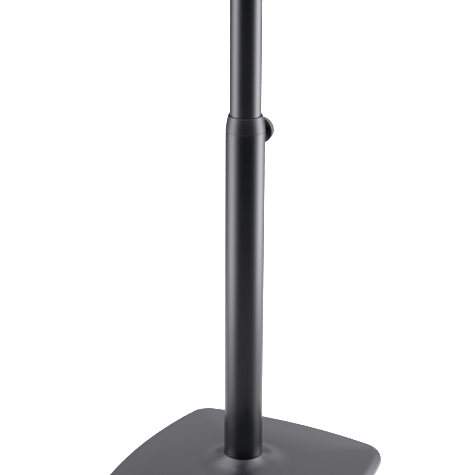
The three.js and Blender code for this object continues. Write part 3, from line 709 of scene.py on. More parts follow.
class BaseForm:
    """Rings of the base casting, square at the rim and round at the column."""

    def __init__(self):
        s = sizes()
        self.s = s
        self.plan = base_plan()
        self.bottom = lowest("base_casting").z

    def inset(self, offset, z):
        return [Vector((*(point - normal * offset), z)) for point, normal in self.plan]

    def round(self, radius, z):
        return [Vector((*(point.normalized() * radius), z)) for point, _ in self.plan]

    def crown_z(self, t):
        return self.s.edge_top + self.s.crown * (1 - (1 - t) ** 2)

    def across(self, t, drop=0.0):
        """A ring of the top face, from the rounded edge at t = 0 to the flare at t = 1."""
        ring = []
        for edge in self.inset(self.s.edge_r, 0):
            far = edge.xy.length
            radius = far + (self.s.flare_r - far) * t
            ring.append(Vector((*(edge.xy.normalized() * radius), self.crown_z(t) - drop)))
        return ring

    def outside(self):
        s = self.s
        rings = [self.inset(0.0012, self.bottom), self.inset(0.0004, self.bottom + 0.0003)]
        rings.append(self.inset(0.0, self.bottom + 0.0011))
        edge_steps = 14
        for k in range(edge_steps + 1):
            a = k / edge_steps * TAU / 4
            rings.append(self.inset(s.edge_r * (1 - math.cos(a)), s.edge_top - s.edge_r * (1 - math.sin(a))))
        top_steps = 14
        rings += [self.across(k / top_steps) for k in range(1, top_steps + 1)]
        mouth = LOWER_R + 0.0004
        flare_steps = 20
        for k in range(1, flare_steps + 1):
            t = k / flare_steps
            rise = (RING_Z - self.crown_z(1)) * t**s.flare_power
            rings.append(self.round(s.flare_r - (s.flare_r - mouth) * t, self.crown_z(1) + rise))
        return rings

    def inside(self):
        s = self.s
        socket_r = LOWER_R + GAP
        socket_floor = lowest("lower_tube").z - GAP
        bolt_r = 0.0068
        seat = highest("column_washer").z + GAP
        boss_low = seat - 0.007
        rings = [self.round(socket_r, RING_Z - 0.0003)]
        rings += [self.round(socket_r, socket_floor), self.round(bolt_r, socket_floor)]
        rings.append(self.round(bolt_r, seat))
        rings += [self.round(0.026, seat), self.round(0.026, boss_low), self.round(0.0415, boss_low)]
        rings += [self.round(0.042, boss_low + 0.0006), self.round(0.043, self.crown_z(1) - s.casting_wall)]
        under_steps = 8
        rings += [self.across(1 - k / under_steps, s.casting_wall) for k in range(under_steps + 1)]
        rings.append(self.inset(s.rim_wall + 0.0015, s.edge_top - s.edge_r + 0.004))
        rings.append(self.inset(s.rim_wall, s.edge_top - s.edge_r))
        rings.append(self.inset(s.rim_wall, self.bottom + 0.0008))
        rings.append(self.inset(s.rim_wall - 0.0008, self.bottom))
        return rings


def add_rib(bm, form, eighth):
    """A stiffening rib from the middle boss to a corner, its top buried in the casting."""
    heading = Vector((math.cos(eighth * TAU / 8), math.sin(eighth * TAU / 8), 0))
    side = Vector((-heading.y, heading.x, 0))
    corner = max(point.length for point, _ in form.plan) - form.s.rim_wall * 1.2
    start = 0.041
    rings = []
    steps = 8
    for k in range(steps + 1):
        far = start + (corner - start) * k / steps
        t = min(1.0, max(0.0, (corner - far) / (corner - form.s.flare_r)))
        top = form.crown_z(t) - form.s.casting_wall + 0.002 - 0.006 * (1 - t) ** 6
        low = form.bottom + 0.0027
        centre = heading * far
        rings.append([
            centre - side * 0.0024 + Vector((0, 0, low)),
            centre + side * 0.0024 + Vector((0, 0, low)),
            centre + side * 0.0034 + Vector((0, 0, top)),
            centre - side * 0.0034 + Vector((0, 0, top)),
        ])
    skin(bm, rings)
    for end in (rings[0], rings[-1]):
        bm.faces.new([bm.verts.new(p) for p in end])


def foot_boss_profile(form):
    pocket_r = highest("rubber_foot_rear_right").x - middle("rubber_foot_rear_right").x + GAP
    pocket = highest("rubber_foot_rear_right").z + GAP
    top = form.s.edge_top - 0.0055
    return rounded([
        (0, 0.016),
        (0.0023, 0.016),
        (0.0023, pocket),
        (pocket_r, pocket),
        (pocket_r, form.bottom, 0.0004),
        (0.017, form.bottom, 0.0008),
        (0.0178, top),
        (0, top),
    ])


class STAND_OT_base(bpy.types.Operator):
    """Casts the base: rim, crowned top, flare, socket, ribs and foot bosses"""

    bl_idname = "stand.base"
    bl_label = "Base casting"

    def execute(self, context):
        form = BaseForm()
        bm = bmesh.new()
        skin(bm, form.outside() + form.inside(), closed=True)
        for eighth in (1, 3, 5, 7):
            add_rib(bm, form, eighth)
        place = middle("rubber_foot_rear_right")
        for x, y in ((-1, -1), (1, -1), (1, 1), (-1, 1)):
            spot = Matrix.Translation((x * place.x, y * place.y, 0))
            turn_profile(bm, foot_boss_profile(form), SMALL_STEPS, spot)
        casting = make_object("base_casting_finished", bm, "powder_coat")
        settle(casting, "base", "powder_coat", "base_casting")
        return {"FINISHED"}


CORNERS = ("front_left", "front_right", "rear_right", "rear_left")


class STAND_OT_feet(bpy.types.Operator):
    """Sets the four rubber feet and their screws"""

    bl_idname = "stand.feet"
    bl_label = "Feet"

    def execute(self, context):
        low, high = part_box("rubber_foot_rear_right")
        place = (low + high) / 2
        radius = high.x - place.x
        screw_low, screw_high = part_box("foot_screw_rear_right")
        head_r = screw_high.x - place.x
        head_top = 0.0042
        bm = bmesh.new()
        turn_profile(bm, rounded([
            (0.0023, head_top + GAP),
            (head_r + GAP, head_top + GAP),
            (head_r + GAP, 0, 0.0004),
            (radius - 0.0009, 0, 0.0009),
            (radius, 0.0022, 0.0006),
            (radius, high.z, 0.0004),
            (0.0023, high.z),
        ]), FINE_STEPS)
        feet = on_grid(make_object("rubber_feet", bm, "rubber"), "rubber", 2 * place.x, 2 * place.y)
        settle(feet, "base", "rubber", *(f"rubber_foot_{c}" for c in CORNERS))
        bm = bmesh.new()
        turn_profile(bm, rounded([
            (0, screw_low.z + 0.0012),
            (0.0016, screw_low.z + 0.0012),
            (0.0019, screw_low.z, 0.0001),
            (head_r, screw_low.z, 0.0008),
            (head_r, head_top, 0.0001),
            (0.002, head_top),
            (0.002, screw_high.z - 0.001),
            (0, screw_high.z),
        ]), SCREW_STEPS)
        screws = on_grid(make_object("foot_screws", bm, "zinc_steel"), "zinc_steel", 2 * place.x, 2 * place.y)
        settle(screws, "base", "zinc_steel", *(f"foot_screw_{c}" for c in CORNERS))
        return {"FINISHED"}


class STAND_OT_column_fixing(bpy.types.Operator):
    """Bolts the lower tube down: bolt, lock washer, washer and the nut inside the tube"""

    bl_idname = "stand.column_fixing"
    bl_label = "Column fixing"

    def execute(self, context):
        low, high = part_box("column_bolt")
        head_top = lowest("column_lock_washer").z - GAP
        shank = 0.006
        over = Matrix.Translation((0, 0, head_top)) @ Matrix.Rotation(TAU / 2, 4, "X")
        bm = bmesh.new()
        hex_body(bm, (high.x - low.x), 0, head_top - low.z, over)
        turn_profile(bm, rounded([
            (0, head_top - 0.001),
            (shank, head_top - 0.001),
            (shank, high.z, 0.0008),
            (0, high.z),
        ]), SMALL_STEPS)
        settle(make_object("column_bolt_finished", bm, "zinc_steel"), "base", "zinc_steel", "column_bolt")
        for node in ("column_lock_washer", "column_washer"):
            low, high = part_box(node)
            turned_piece(f"{node}_finished", rounded([
                (shank + GAP, low.z),
                (high.x, low.z, 0.0003),
                (high.x, high.z, 0.0003),
                (shank + GAP, high.z),
            ]), "base", "zinc_steel", node)
        low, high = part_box("column_nut")
        turned_piece("column_nut_finished", rounded([
            (shank + GAP, low.z, 0.0006),
            (high.x, low.z, 0.0008),
            (high.x, high.z, 0.0008),
            (shank + GAP, high.z, 0.0006),
        ]), "base", "zinc_steel", "column_nut")
        return {"FINISHED"}


# ------------------------------------------------------------------ column
class STAND_OT_lower_tube(bpy.types.Operator):
    """Draws the lower column tube"""

    bl_idname = "stand.lower_tube"
    bl_label = "Lower tube"

    def execute(self, context):
        low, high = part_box("lower_tube")
        wall = sizes().tube_wall
        tube = round_tube("lower_tube_finished", "powder_coat", LOWER_R, wall, low.z, high.z, 0.0002)
        settle(cut_away(tube, shoe_window()), "base", "powder_coat", "lower_tube")
        return {"FINISHED"}


def shoe_window():
    """The hole that lets the pressure shoe through the lower tube and the collar's spigot."""
    return drill(along_y(CLAMP), highest("pressure_shoe").x + 0.0004, WINDOW_START, LOWER_R + 0.005)


def collar_profile():
    """Spigot below the seam, then a shoulder that draws in to a rounded edge close round the upper tube."""
    low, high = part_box("clamp_collar")
    seam = SEAM_Z + 0.0001
    spigot_r = LOWER_R - sizes().tube_wall - GAP
    bore = UPPER_R + 0.0004
    points = [(bore, low.z, 0.0003), (spigot_r, low.z, 0.0004), (spigot_r, seam), (LOWER_R - 0.0002, seam)]
    points.append((LOWER_R, seam + 0.0003, 0.0002))
    steps = 14
    for k in range(1, steps + 1):
        t = k / steps
        inwards = 0.0028 * t**1.35
        points.append((LOWER_R - inwards, seam + (high.z - 0.0046 - seam) * t))
    points += [(0.0265, high.z - 0.0014, 0.0012), (0.0261, high.z, 0.0007)]
    points.append((bore + 0.0011, high.z - 0.0003, 0.0004))
    points += [(bore + 0.0003, high.z - 0.004), (bore, high.z - 0.005)]
    return rounded(points)


def boss_rings(radius, end, bore, steps=FINE_STEPS):
    """The threaded boss: a weld bead that follows the tube, a plain barrel and a chamfered mouth."""
    bead = [(radius + 0.0018, 0.0001), (radius + 0.0014, 0.0005), (radius + 0.0005, 0.0011), (radius, 0.0022)]
    straight = [(radius, end - 0.0006), (radius - 0.0006, end), (bore + 0.0005, end), (bore, end - 0.0005)]

    def on_tube(r, lift):
        points = []
        for i in range(steps):
            x = r * math.cos(TAU * i / steps)
            points.append(Vector((x, math.sqrt(LOWER_R**2 - x**2) + lift, r * math.sin(TAU * i / steps))))
        return points

    def flat(r, y):
        return [
            Vector((r * math.cos(TAU * i / steps), y, r * math.sin(TAU * i / steps))) for i in range(steps)
        ]

    rings = [on_tube(r, lift) for r, lift in bead] + [flat(r, y) for r, y in straight]
    rings.append(on_tube(bore, 0.0003))
    return [[CLAMP + p for p in ring] for ring in rings]


def knob_rim():
    """Radius and depth of the round knob, from the frame."""
    low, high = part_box("clamp_knob")
    return (high.x - low.x) / 2, high.y - low.y


KNOB_NECK = 0.0064
KNOB_HUB_R = 0.0095
SCREW_BORE = 0.0043  # in the clamp's boss and knob
INSERT_BORE = 0.0075  # in the tilt knob, round its brass insert
WINDOW_START = 0.015


def knob_profile(bore):
    """Hub, hollow skirt, softly rounded rim and a slightly domed face with a seat for the cap."""
    radius, depth = knob_rim()
    skirt = radius - 0.0026
    hollow = KNOB_NECK + 0.0065
    cap_r = highest("clamp_knob_cap").x + 0.0002
    return rounded([
        (0, 0.015),
        (bore, 0.015),
        (bore, 0, 0.0004),
        (KNOB_HUB_R, 0, 0.0006),
        (KNOB_HUB_R + 0.0003, hollow, 0.0008),
        (skirt - 0.0004, hollow, 0.0008),
        (skirt, KNOB_NECK, 0.0005),
        (radius, KNOB_NECK, 0.0006),
        (radius - 0.0001, KNOB_NECK + 0.003, 0.003),
        (radius - 0.0018, depth - 0.0001, 0.0032),
        (cap_r + 0.0030, depth, 0.0010),
        (cap_r, depth + 0.0002, 0.0003),
        (cap_r, depth - 0.0014),
        (0, depth - 0.0014),
    ], steps=8)


def cap_profile():
    depth = knob_rim()[1]
    cap_r = highest("clamp_knob_cap").x
    seat = depth - 0.0011
    top = highest("clamp_knob_cap").y - lowest("clamp_knob").y
    points = [(0, seat), (cap_r, seat), (cap_r, depth + 0.0002, 0.0003)]
    steps = 8
    for k in range(1, steps + 1):
        t = k / steps
        a = t * TAU / 4
        points.append(((cap_r - 0.0004) * math.cos(a), depth + 0.0003 + (top - depth - 0.0003) * math.sin(a)))
    points[-1] = (0, points[-1][1])
    return rounded(points)


def hand_knob(clamp, bore, place):
    """A round knob and its cap; both clamps have the same one but for its bore."""
    for piece, node, profile in (
        ("knob", f"{clamp}_knob", knob_profile(bore)),
        ("cap", f"{clamp}_knob_cap", cap_profile()),
    ):
        name = f"{clamp}_{piece}_finished"
        turned_piece(name, profile, f"{clamp}_handle", "knob_plastic", node, KNOB_STEPS, place)


class STAND_OT_clamp(bpy.types.Operator):
    """Makes the column clamp: collar, threaded boss, screw, shoe and round knob"""

    bl_idname = "stand.clamp"
    bl_label = "Column clamp"

    def execute(self, context):
        steps = sizes().round_steps
        bm = bmesh.new()
        turn_profile(bm, collar_profile(), steps)
        collar = cut_away(make_object("clamp_collar_finished", bm, "collar_plastic"), shoe_window())
        settle(collar, "base", "collar_plastic", "clamp_collar")
        boss = highest("clamp_boss")
        bm = bmesh.new()
        skin(bm, boss_rings(boss.x, boss.y, SCREW_BORE), closed=True)
        settle(make_object("clamp_boss_finished", bm, "powder_coat"), "base", "powder_coat", "clamp_boss")
        knob_place = along_y(Vector((0, lowest("clamp_knob").y, CLAMP.z)))
        hand_knob("clamp", SCREW_BORE, knob_place)
        low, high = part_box("clamp_screw")
        screw_r = high.x
        turned_piece("clamp_screw_finished", rounded([
            (0, low.y),
            (screw_r, low.y, 0.0008),
            (screw_r, high.y, 0.0006),
            (0, high.y),
        ]), "clamp_handle", "zinc_steel", "clamp_screw", SMALL_STEPS, along_y(CLAMP))
        shoe = refined("pressure_shoe_finished", "pressure_shoe", 0.0004, "nylon")
        settle(shoe, "shoe", "nylon", "pressure_shoe")
        return {"FINISHED"}


GRUB_SCREW_HOLE_R = 0.0029
RING_GROOVE = 0.0009
CROSS_DRILL = 0.03  # past the upper tube's wall on both sides


class STAND_OT_upper_tube(bpy.types.Operator):
    """Draws the sliding tube with its guide ring, spring ring, foot cap and pin"""

    bl_idname = "stand.upper_tube"
    bl_label = "Upper tube"

    def execute(self, context):
        low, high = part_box("upper_tube")
        bore = UPPER_R - sizes().tube_wall
        groove = lowest("retaining_ring").z - GAP
        groove_top = highest("retaining_ring").z + GAP
        bm = bmesh.new()
        turn_profile(bm, rounded([
            (bore, low.z, 0.0003),
            (UPPER_R, low.z, 0.0004),
            (UPPER_R, groove),
            (UPPER_R - RING_GROOVE, groove),
            (UPPER_R - RING_GROOVE, groove_top),
            (UPPER_R, groove_top),
            (UPPER_R, high.z, 0.0005),
            (bore, high.z, 0.0003),
        ]), sizes().round_steps)
        tube = make_object("upper_tube_finished", bm, "powder_coat")
        pin = middle("foot_cap_pin")
        pin_r = highest("foot_cap_pin").z - pin.z
        holes = []
        for z, radius in ((middle("head_screw_right").z, GRUB_SCREW_HOLE_R), (pin.z, pin_r + 0.0001)):
            holes.append(drill(along_x((0, 0, z)), radius, -CROSS_DRILL, CROSS_DRILL, SCREW_STEPS))
        settle(cut_away(tube, *holes), "mast", "powder_coat", "upper_tube")
        low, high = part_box("guide_ring")
        wall = high.x - UPPER_R - GAP
        ring = round_tube("guide_ring_finished", "nylon", high.x, wall, low.z, high.z, 0.0007)
        settle(ring, "guide", "nylon", "guide_ring")
        for node, slot, width in (
            ("retaining_ring", "zinc_steel", 0.0002),
            ("tube_foot_cap", "nylon", 0.0004),
            ("foot_cap_pin", "zinc_steel", 0.0003),
        ):
            settle(refined(f"{node}_finished", node, width, slot), "mast", slot, node)
        return {"FINISHED"}


# ------------------------------------------------------------------ tilt fork
class STAND_OT_fork(bpy.types.Operator):
    """Makes the tilt fork and the two grub screws that hold it in the tube"""

    bl_idname = "stand.fork"
    bl_label = "Tilt fork"

    def execute(self, context):
        fork = refined("head_fork_finished", "head_fork", 0.0009, "powder_coat")
        settle(fork, "mast", "powder_coat", "head_fork")
        for node in ("head_screw_left", "head_screw_right"):
            settle(refined(f"{node}_finished", node, 0.00025, "zinc_steel"), "mast", "zinc_steel", node)
        return {"FINISHED"}


class STAND_OT_tilt_clamp(bpy.types.Operator):
    """Makes the tilt clamp: bolt, washers, friction discs, knob, cap and nut"""

    bl_idname = "stand.tilt_clamp"
    bl_label = "Tilt clamp"

    def execute(self, context):
        bolt_low, bolt_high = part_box("tilt_bolt")
        bolt_r = 0.005
        head_inner = lowest("tilt_washer_left").x - GAP
        bm = bmesh.new()
        across = bolt_high.z - bolt_low.z
        hex_body(bm, across, 0, head_inner - bolt_low.x, along_x(PIVOT + Vector((head_inner, 0, 0)), -1))
        turn_profile(bm, rounded([
            (0, head_inner - 0.001),
            (bolt_r, head_inner - 0.001),
            (bolt_r, bolt_high.x, 0.0009),
            (0, bolt_high.x),
        ]), SMALL_STEPS, along_x(PIVOT))
        settle(make_object("tilt_bolt_finished", bm, "zinc_steel"), "mast", "zinc_steel", "tilt_bolt")
        for side, washer_body in (("left", "mast"), ("right", "tilt_washer")):
            for kind, body, slot, edge in (
                ("tilt_washer", washer_body, "zinc_steel", 0.0003),
                ("friction_disc", "desk", "nylon", 0.0002),
            ):
                low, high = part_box(f"{kind}_{side}")
                radius = high.y
                turned_piece(f"{kind}_{side}_finished", rounded([
                    (bolt_r + GAP, low.x),
                    (radius, low.x, edge),
                    (radius, high.x, edge),
                    (bolt_r + GAP, high.x),
                ]), body, slot, f"{kind}_{side}", FINE_STEPS, along_x(PIVOT))
        knob_place = along_x(PIVOT + Vector((lowest("tilt_knob").x, 0, 0)))
        hand_knob("tilt", INSERT_BORE, knob_place)
        low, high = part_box("tilt_knob_nut")
        turned_piece("tilt_nut_finished", rounded([
            (bolt_r + GAP, low.x, 0.0003),
            (high.y, low.x, 0.0004),
            (high.y, high.x, 0.0004),
            (bolt_r + GAP, high.x, 0.0003),
        ]), "tilt_handle", "brass", "tilt_knob_nut", SMALL_STEPS, along_x(PIVOT))
        return {"FINISHED"}


# ------------------------------------------------------------------ desk
# The desk's own axes: x across, y up along the desk, z out of its reading face, from the tilt axis.
DESK_BOTTOM = -0.165
DESK_TOP = 0.185
DESK_FACE = 0.036
SHELF_DEPTH = 0.042
LIP_HEIGHT = 0.014
BEND_R = 0.004
RIM_DEPTH = 0.012


def desk_turn():
    return TAU / 4 - sizes().desk_tilt


def desk_place():
    return Matrix.Translation(PIVOT) @ Matrix.Rotation(desk_turn(), 4, "X")


def desk_outline(half, top, corner, low, steps=10):
    """Left edge upwards, over the top and down the right edge, with an outward normal at each point."""
    points = [(-half, low, TAU / 2)]
    for k in range(steps + 1):
        a = TAU / 2 - k / steps * TAU / 4
        points.append((-half + corner + corner * math.cos(a), top - corner + corner * math.sin(a), a))
    points += [(-x, y, TAU / 2 - a) for x, y, a in reversed(points)]
    return points


def desk_skin(bm):
    """The outer surface of the folded sheet: rim and face, left open at the foot, where add_shelf adds the
    shelf and lip.
    """
    half = highest("desk_panel").x
    bend = 0.0028
    low = DESK_BOTTOM + BEND_R
    outline = desk_outline(half, DESK_TOP, sizes().desk_corner, low)
    rings = []
    for depth in (DESK_FACE - RIM_DEPTH, DESK_FACE - bend - 0.001):
        rings.append([Vector((x, y, depth)) for x, y, _ in outline])
    arc_steps = 5
    for k in range(arc_steps + 1):
        a = k / arc_steps * TAU / 4
        inwards = bend * (1 - math.cos(a))
        depth = DESK_FACE - bend * (1 - math.sin(a))
        rings.append([
            Vector((x - inwards * math.cos(n), y - inwards * math.sin(n), depth)) for x, y, n in outline
        ])
    made = [[bm.verts.new(p) for p in ring] for ring in rings]
    for inner, outer in zip(made, made[1:]):
        for i in range(len(inner) - 1):
            bm.faces.new([inner[i], inner[i + 1], outer[i + 1], outer[i]])
    edge = made[-1]
    count = len(edge)
    for i in range(count // 2 - 1):
        bm.faces.new([edge[i], edge[i + 1], edge[count - 2 - i], edge[count - 1 - i]])
    return edge[0], edge[-1]


def shelf_path():
    """From the foot of the face down round the bend, along the shelf and up the inside of the lip."""
    path = []
    steps = 6
    for k in range(steps + 1):
        a = TAU / 2 + k / steps * TAU / 4
        path.append((DESK_FACE + BEND_R + BEND_R * math.cos(a), DESK_BOTTOM + BEND_R + BEND_R * math.sin(a)))
    front = DESK_FACE + SHELF_DEPTH - sizes().sheet
    for k in range(steps + 1):
        a = 3 * TAU / 4 + k / steps * TAU / 4
        path.append((front - BEND_R + BEND_R * math.cos(a), DESK_BOTTOM + BEND_R + BEND_R * math.sin(a)))
    corner = 0.008
    top = DESK_BOTTOM + LIP_HEIGHT
    path += [(front, top - corner + corner * math.sin(k / 6 * TAU / 4)) for k in range(7)]
    return path


def add_shelf(bm, left, right):
    half = highest("desk_panel").x
    corner = 0.008
    top = DESK_BOTTOM + LIP_HEIGHT
    before = None
    for z, y in shelf_path():
        over = max(0.0, y - (top - corner))
        reach = half
        if z > DESK_FACE + SHELF_DEPTH / 2:
            reach = half - corner + math.sqrt(max(0.0, corner**2 - over**2))
        row = [bm.verts.new((-reach, y, z)), bm.verts.new((reach, y, z))]
        if before:
            bm.faces.new([before[1], before[0], row[0], row[1]])
        else:
            foot = [row[0], left, right, row[1]]
            bm.faces.new(foot)
        before = row


class STAND_OT_desk(bpy.types.Operator):
    """Folds the desk from sheet, and adds its bracket and the rubber strip on the shelf"""

    bl_idname = "stand.desk"
    bl_label = "Desk"

    def execute(self, context):
        bm = bmesh.new()
        left, right = desk_skin(bm)
        add_shelf(bm, left, right)
        bmesh.ops.remove_doubles(bm, verts=bm.verts, dist=ON_AXIS)
        bmesh.ops.recalc_face_normals(bm, faces=bm.faces)
        facing = [f for f in bm.faces if abs(f.calc_center_median().y) < 0.15 and f.calc_area() > 0.01]
        if facing[0].normal.z < 0:
            bmesh.ops.reverse_faces(bm, faces=bm.faces)
        mesh = bpy.data.meshes.new("desk_panel_finished")
        bm.transform(desk_place())
        bm.to_mesh(mesh)
        bm.free()
        panel = bpy.data.objects.new("desk_panel_finished", mesh)
        mesh.materials.append(bpy.data.materials["powder_coat"])
        context.scene.collection.objects.link(panel)
        wall = panel.modifiers.new("Sheet", "SOLIDIFY")
        wall.thickness = sizes().sheet
        wall.offset = -1
        wall.use_even_offset = True
        bevelled(panel, 0.0004)
        settle(panel, "desk", "powder_coat", "desk_panel")
        bracket = refined("desk_bracket_finished", "desk_bracket", 0.0007, "powder_coat")
        settle(bracket, "desk", "powder_coat", "desk_bracket")
        settle(shelf_strip(), "desk", "rubber", "shelf_pad")
        return {"FINISHED"}


def shelf_strip():
    """A rubber strip with fine ribs along the shelf."""
    half = highest("shelf_pad").x
    low = DESK_BOTTOM + GAP
    top = DESK_BOTTOM + 0.0018
    back = DESK_FACE + 0.005
    front = DESK_FACE + SHELF_DEPTH - 0.007
    ribs = 10
    pitch = (front - back) / ribs
    outline = [(front, low), (back, low)]
    for k in range(ribs):
        start = back + k * pitch
        outline += [(start + pitch * 0.05, top - 0.0001), (start + pitch * 0.15, top)]
        outline.append((start + pitch * 0.6, top))
        outline += [(start + pitch * 0.7, top - 0.0001), (start + pitch * 0.75, top - 0.0008)]
        outline += [(start + pitch * 0.98, top - 0.0008)]
    outline[-2:] = [(front, top - 0.0002)]
    place = desk_place()
    rings = []
    for x, shrink in ((-half, 0.0003), (-half + 0.0003, 0), (half - 0.0003, 0), (half, 0.0003)):
        rings.append([place @ Vector((x, max(low, y - shrink), z)) for z, y in outline])
    bm = bmesh.new()
    skin(bm, rings)
    for end in (rings[0], rings[-1]):
        bm.faces.new([bm.verts.new(p) for p in end])
    return make_object("shelf_strip", bm, "rubber")


DESK_CORNERS = ("lower_left", "lower_right", "upper_right", "upper_left")
STUD_WIDTH = 0.084
STUD_DEPTH = 0.056
STUD_R = 0.0025


def button_head(bm, radius, low, high, socket):
    """A domed head with a hexagon socket, its underside at low; the shank is turned by the caller."""
    steps = SMALL_STEPS
    flats = hex_outline(socket, steps)

    def ring(values, h):
        values = values if isinstance(values, list) else [values] * steps
        return [
            Vector((r * math.cos(TAU * i / steps), r * math.sin(TAU * i / steps), h))
            for i, r in enumerate(values)
        ]

    rings = [[Vector((0, 0, low))], ring(radius - 0.0003, low), ring(radius, low + 0.0004)]
    dome_steps = 6
    dome_share = 0.86  # of a quarter round, so that the top stays open for the socket
    for k in range(dome_steps + 1):
        a = k / dome_steps * TAU / 4 * dome_share
        climb = math.sin(a) / math.sin(TAU / 4 * dome_share)
        rings.append(ring(radius * math.cos(a), low + 0.0006 + (high - low - 0.0006) * climb))
    rings[-1] = ring(socket * 0.66, high)
    rings.append(ring([r + 0.0001 for r in flats], high - 0.0001))
    rings.append(ring(flats, high - 0.0014))
    rings.append([Vector((0, 0, high - 0.0017))])
    skin(bm, rings)


class STAND_OT_desk_fixings(bpy.types.Operator):
    """Screws the desk to its bracket"""

    bl_idname = "stand.desk_fixings"
    bl_label = "Desk screws and nuts"

    def execute(self, context):
        turn = (desk_turn(), 0, 0)
        head_low = DESK_FACE + GAP
        plate_back = DESK_FACE - 0.0053
        nut_high = plate_back - GAP
        nut_low = nut_high - 0.004
        bm = bmesh.new()
        button_head(bm, 0.006, head_low, DESK_FACE + 0.003, 0.0034)
        turn_profile(bm, rounded([
            (0, nut_low - 0.0015),
            (STUD_R, nut_low - 0.0015, 0.0006),
            (STUD_R, head_low + 0.0004),
            (0, head_low + 0.0004),
        ]), SCREW_STEPS)
        screws = make_object("desk_screws", bm, "black_steel")
        on_grid(screws, "black_steel", STUD_WIDTH, STUD_DEPTH, PIVOT, turn)
        settle(screws, "desk", "black_steel", *(f"desk_screw_{c}" for c in DESK_CORNERS))
        bm = bmesh.new()
        hex_body(bm, 0.008, nut_low, nut_high, None, STUD_R + 0.0002, both=True)
        nuts = make_object("desk_nuts", bm, "zinc_steel")
        on_grid(nuts, "zinc_steel", STUD_WIDTH, STUD_DEPTH, PIVOT, turn)
        settle(nuts, "desk", "zinc_steel", *(f"desk_nut_{c}" for c in DESK_CORNERS))
        return {"FINISHED"}


# ------------------------------------------------------------------ studio
def studio_light():
    """Light by direction: tall soft ones at the sides and the rear left, and glows behind, above and below.

    The camera itself sees a plain white background instead."""
    s = bpy.context.scene.stand_stage
    world = bpy.data.worlds.new("studio")
    world.use_nodes = True
    bpy.context.scene.world = world
    g = Graph(world.node_tree)
    heading = g.node("ShaderNodeTexCoord", output="Generated")
    x, y, z = g.axes(heading)
    ca, sa = math.cos(s.azimuth), math.sin(s.azimuth)
    right = x * ca + y * sa
    toward = x * sa - y * ca
    around = right.angle_from(toward)

    def lobe(centre, before, after):
        """A soft light upright at an azimuth, with its own width on each side."""
        offset = around - math.radians(centre)
        near = offset.at_most(0.0) / math.radians(before)
        far = offset.at_least(0.0) / math.radians(after)
        return ((near * near + far * far) * -1.0).exponential()

    down = z * -1.0
    left_light = lobe(-78, 27, 24) * (1 - down.smooth(0.32, 0.50) * 0.8) * 8.2
    right_light = lobe(92, 24, 28) * (1 - down.smooth(0.26, 0.46) * 0.84) * 11.2
    rear_light = lobe(-122, 27, 24) * z.smooth(0.3, 0.65) * 3.2
    sides = (left_light + right_light) * (1 - z.smooth(0.6, 0.96) * 0.8) + rear_light
    behind = (toward * -1.0).smooth(0.1, 0.9)
    upper = z.smooth(-0.05, 0.25)
    slant = 0.66 + right.smooth(-0.35, 0.35) * 0.54
    glow = behind * (0.22 + upper * slant + down.smooth(0.30, 0.46))
    front = toward.smooth(0.1, 0.8) * z.smooth(0.25, 0.6) * 3.0
    top = z.smooth(0.5, 0.85) * 1.2
    fill = 0.008 + down.smooth(0.17, 0.4) * 0.6
    strength = sides + glow + front + top + fill
    lit = g.node("ShaderNodeBackground", None, {"Color": (1.0, 0.974, 1.03, 1), "Strength": strength})
    plain = g.node("ShaderNodeBackground", None, {"Color": (1, 1, 1, 1), "Strength": 1.0})
    seen = g.node("ShaderNodeLightPath", output="Is Camera Ray")
    mix = g.node("ShaderNodeMixShader", None, {0: seen, 1: lit, 2: plain})
    g.node("ShaderNodeOutputWorld", None, {"Surface": mix})


def studio_floor():
    s = bpy.context.scene.stand_stage
    made, g = material("studio_floor")
    shade = g.noise(g.place(), 1.5, 2.0)
    g.surface({
        "Base Color": g.tint(shade, s.floor, scaled(s.floor, 0.98)),
        "Roughness": 0.9 + shade * 0.05,
        "Specular IOR Level": 0.0,
    })
    bm = bmesh.new()
    bmesh.ops.create_grid(bm, x_segments=4, y_segments=4, size=s.floor_size / 2)
    floor = make_object("studio_floor", bm, "studio_floor")
    floor.visible_glossy = False


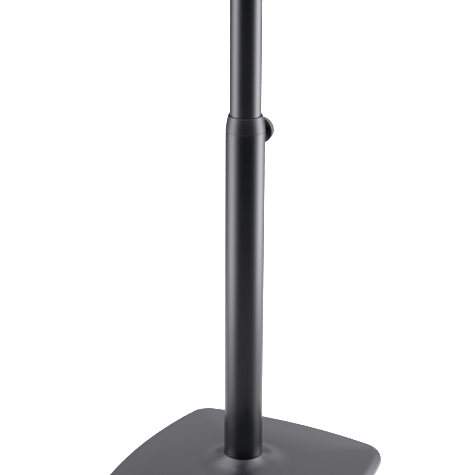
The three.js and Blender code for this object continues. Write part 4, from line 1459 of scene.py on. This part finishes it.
def studio_camera():
    s = bpy.context.scene.stand_stage
    data = bpy.data.cameras.new("camera")
    data.lens = s.lens
    data.sensor_width = 36.0
    data.clip_end = 200.0
    camera = bpy.data.objects.new("camera", data)
    bpy.context.scene.collection.objects.link(camera)
    turn = Matrix.Rotation(s.azimuth + s.yaw, 4, "Z") @ Matrix.Rotation(TAU / 4 - s.pitch, 4, "X")
    spot = Vector((s.distance * math.sin(s.azimuth), -s.distance * math.cos(s.azimuth), RING_Z + s.height))
    camera.matrix_world = Matrix.Translation(spot) @ turn @ Matrix.Rotation(s.roll, 4, "Z")
    bpy.context.scene.camera = camera


class STAND_OT_stage(bpy.types.Operator):
    """Sets the camera, the pale floor and the studio light"""

    bl_idname = "stand.stage"
    bl_label = "Studio"

    def execute(self, context):
        studio_camera()
        studio_floor()
        studio_light()
        context.scene.view_settings.view_transform = "Standard"
        return {"FINISHED"}


class STAND_PT_panel(bpy.types.Panel):
    bl_label = "Music stand"
    bl_idname = "STAND_PT_panel"
    bl_space_type = "VIEW_3D"
    bl_region_type = "UI"
    bl_category = "Stand"

    def draw(self, context):
        layout = self.layout
        for group in (context.scene.stand_sizes, context.scene.stand_finishes, context.scene.stand_stage):
            box = layout.box()
            for name in group.__annotations__:
                box.prop(group, name)
        for operator in OPERATORS:
            layout.operator(operator.bl_idname)


OPERATORS = (
    STAND_OT_finishes,
    STAND_OT_stage,
    STAND_OT_base,
    STAND_OT_feet,
    STAND_OT_column_fixing,
    STAND_OT_lower_tube,
    STAND_OT_clamp,
    STAND_OT_upper_tube,
    STAND_OT_fork,
    STAND_OT_tilt_clamp,
    STAND_OT_desk,
    STAND_OT_desk_fixings,
)
GROUPS = {
    "stand_sizes": STAND_PG_sizes,
    "stand_finishes": STAND_PG_finishes,
    "stand_stage": STAND_PG_stage,
}


def register():
    for cls in (*GROUPS.values(), *OPERATORS, STAND_PT_panel):
        bpy.utils.register_class(cls)
    for name, cls in GROUPS.items():
        setattr(bpy.types.Scene, name, bpy.props.PointerProperty(type=cls))


def unregister():
    for name in GROUPS:
        delattr(bpy.types.Scene, name)
    for cls in reversed((*GROUPS.values(), *OPERATORS, STAND_PT_panel)):
        bpy.utils.unregister_class(cls)


def main():
    register()
    for operator in OPERATORS:
        section, name = operator.bl_idname.split(".")
        getattr(getattr(bpy.ops, section), name)()


if __name__ == "__main__":
    main()
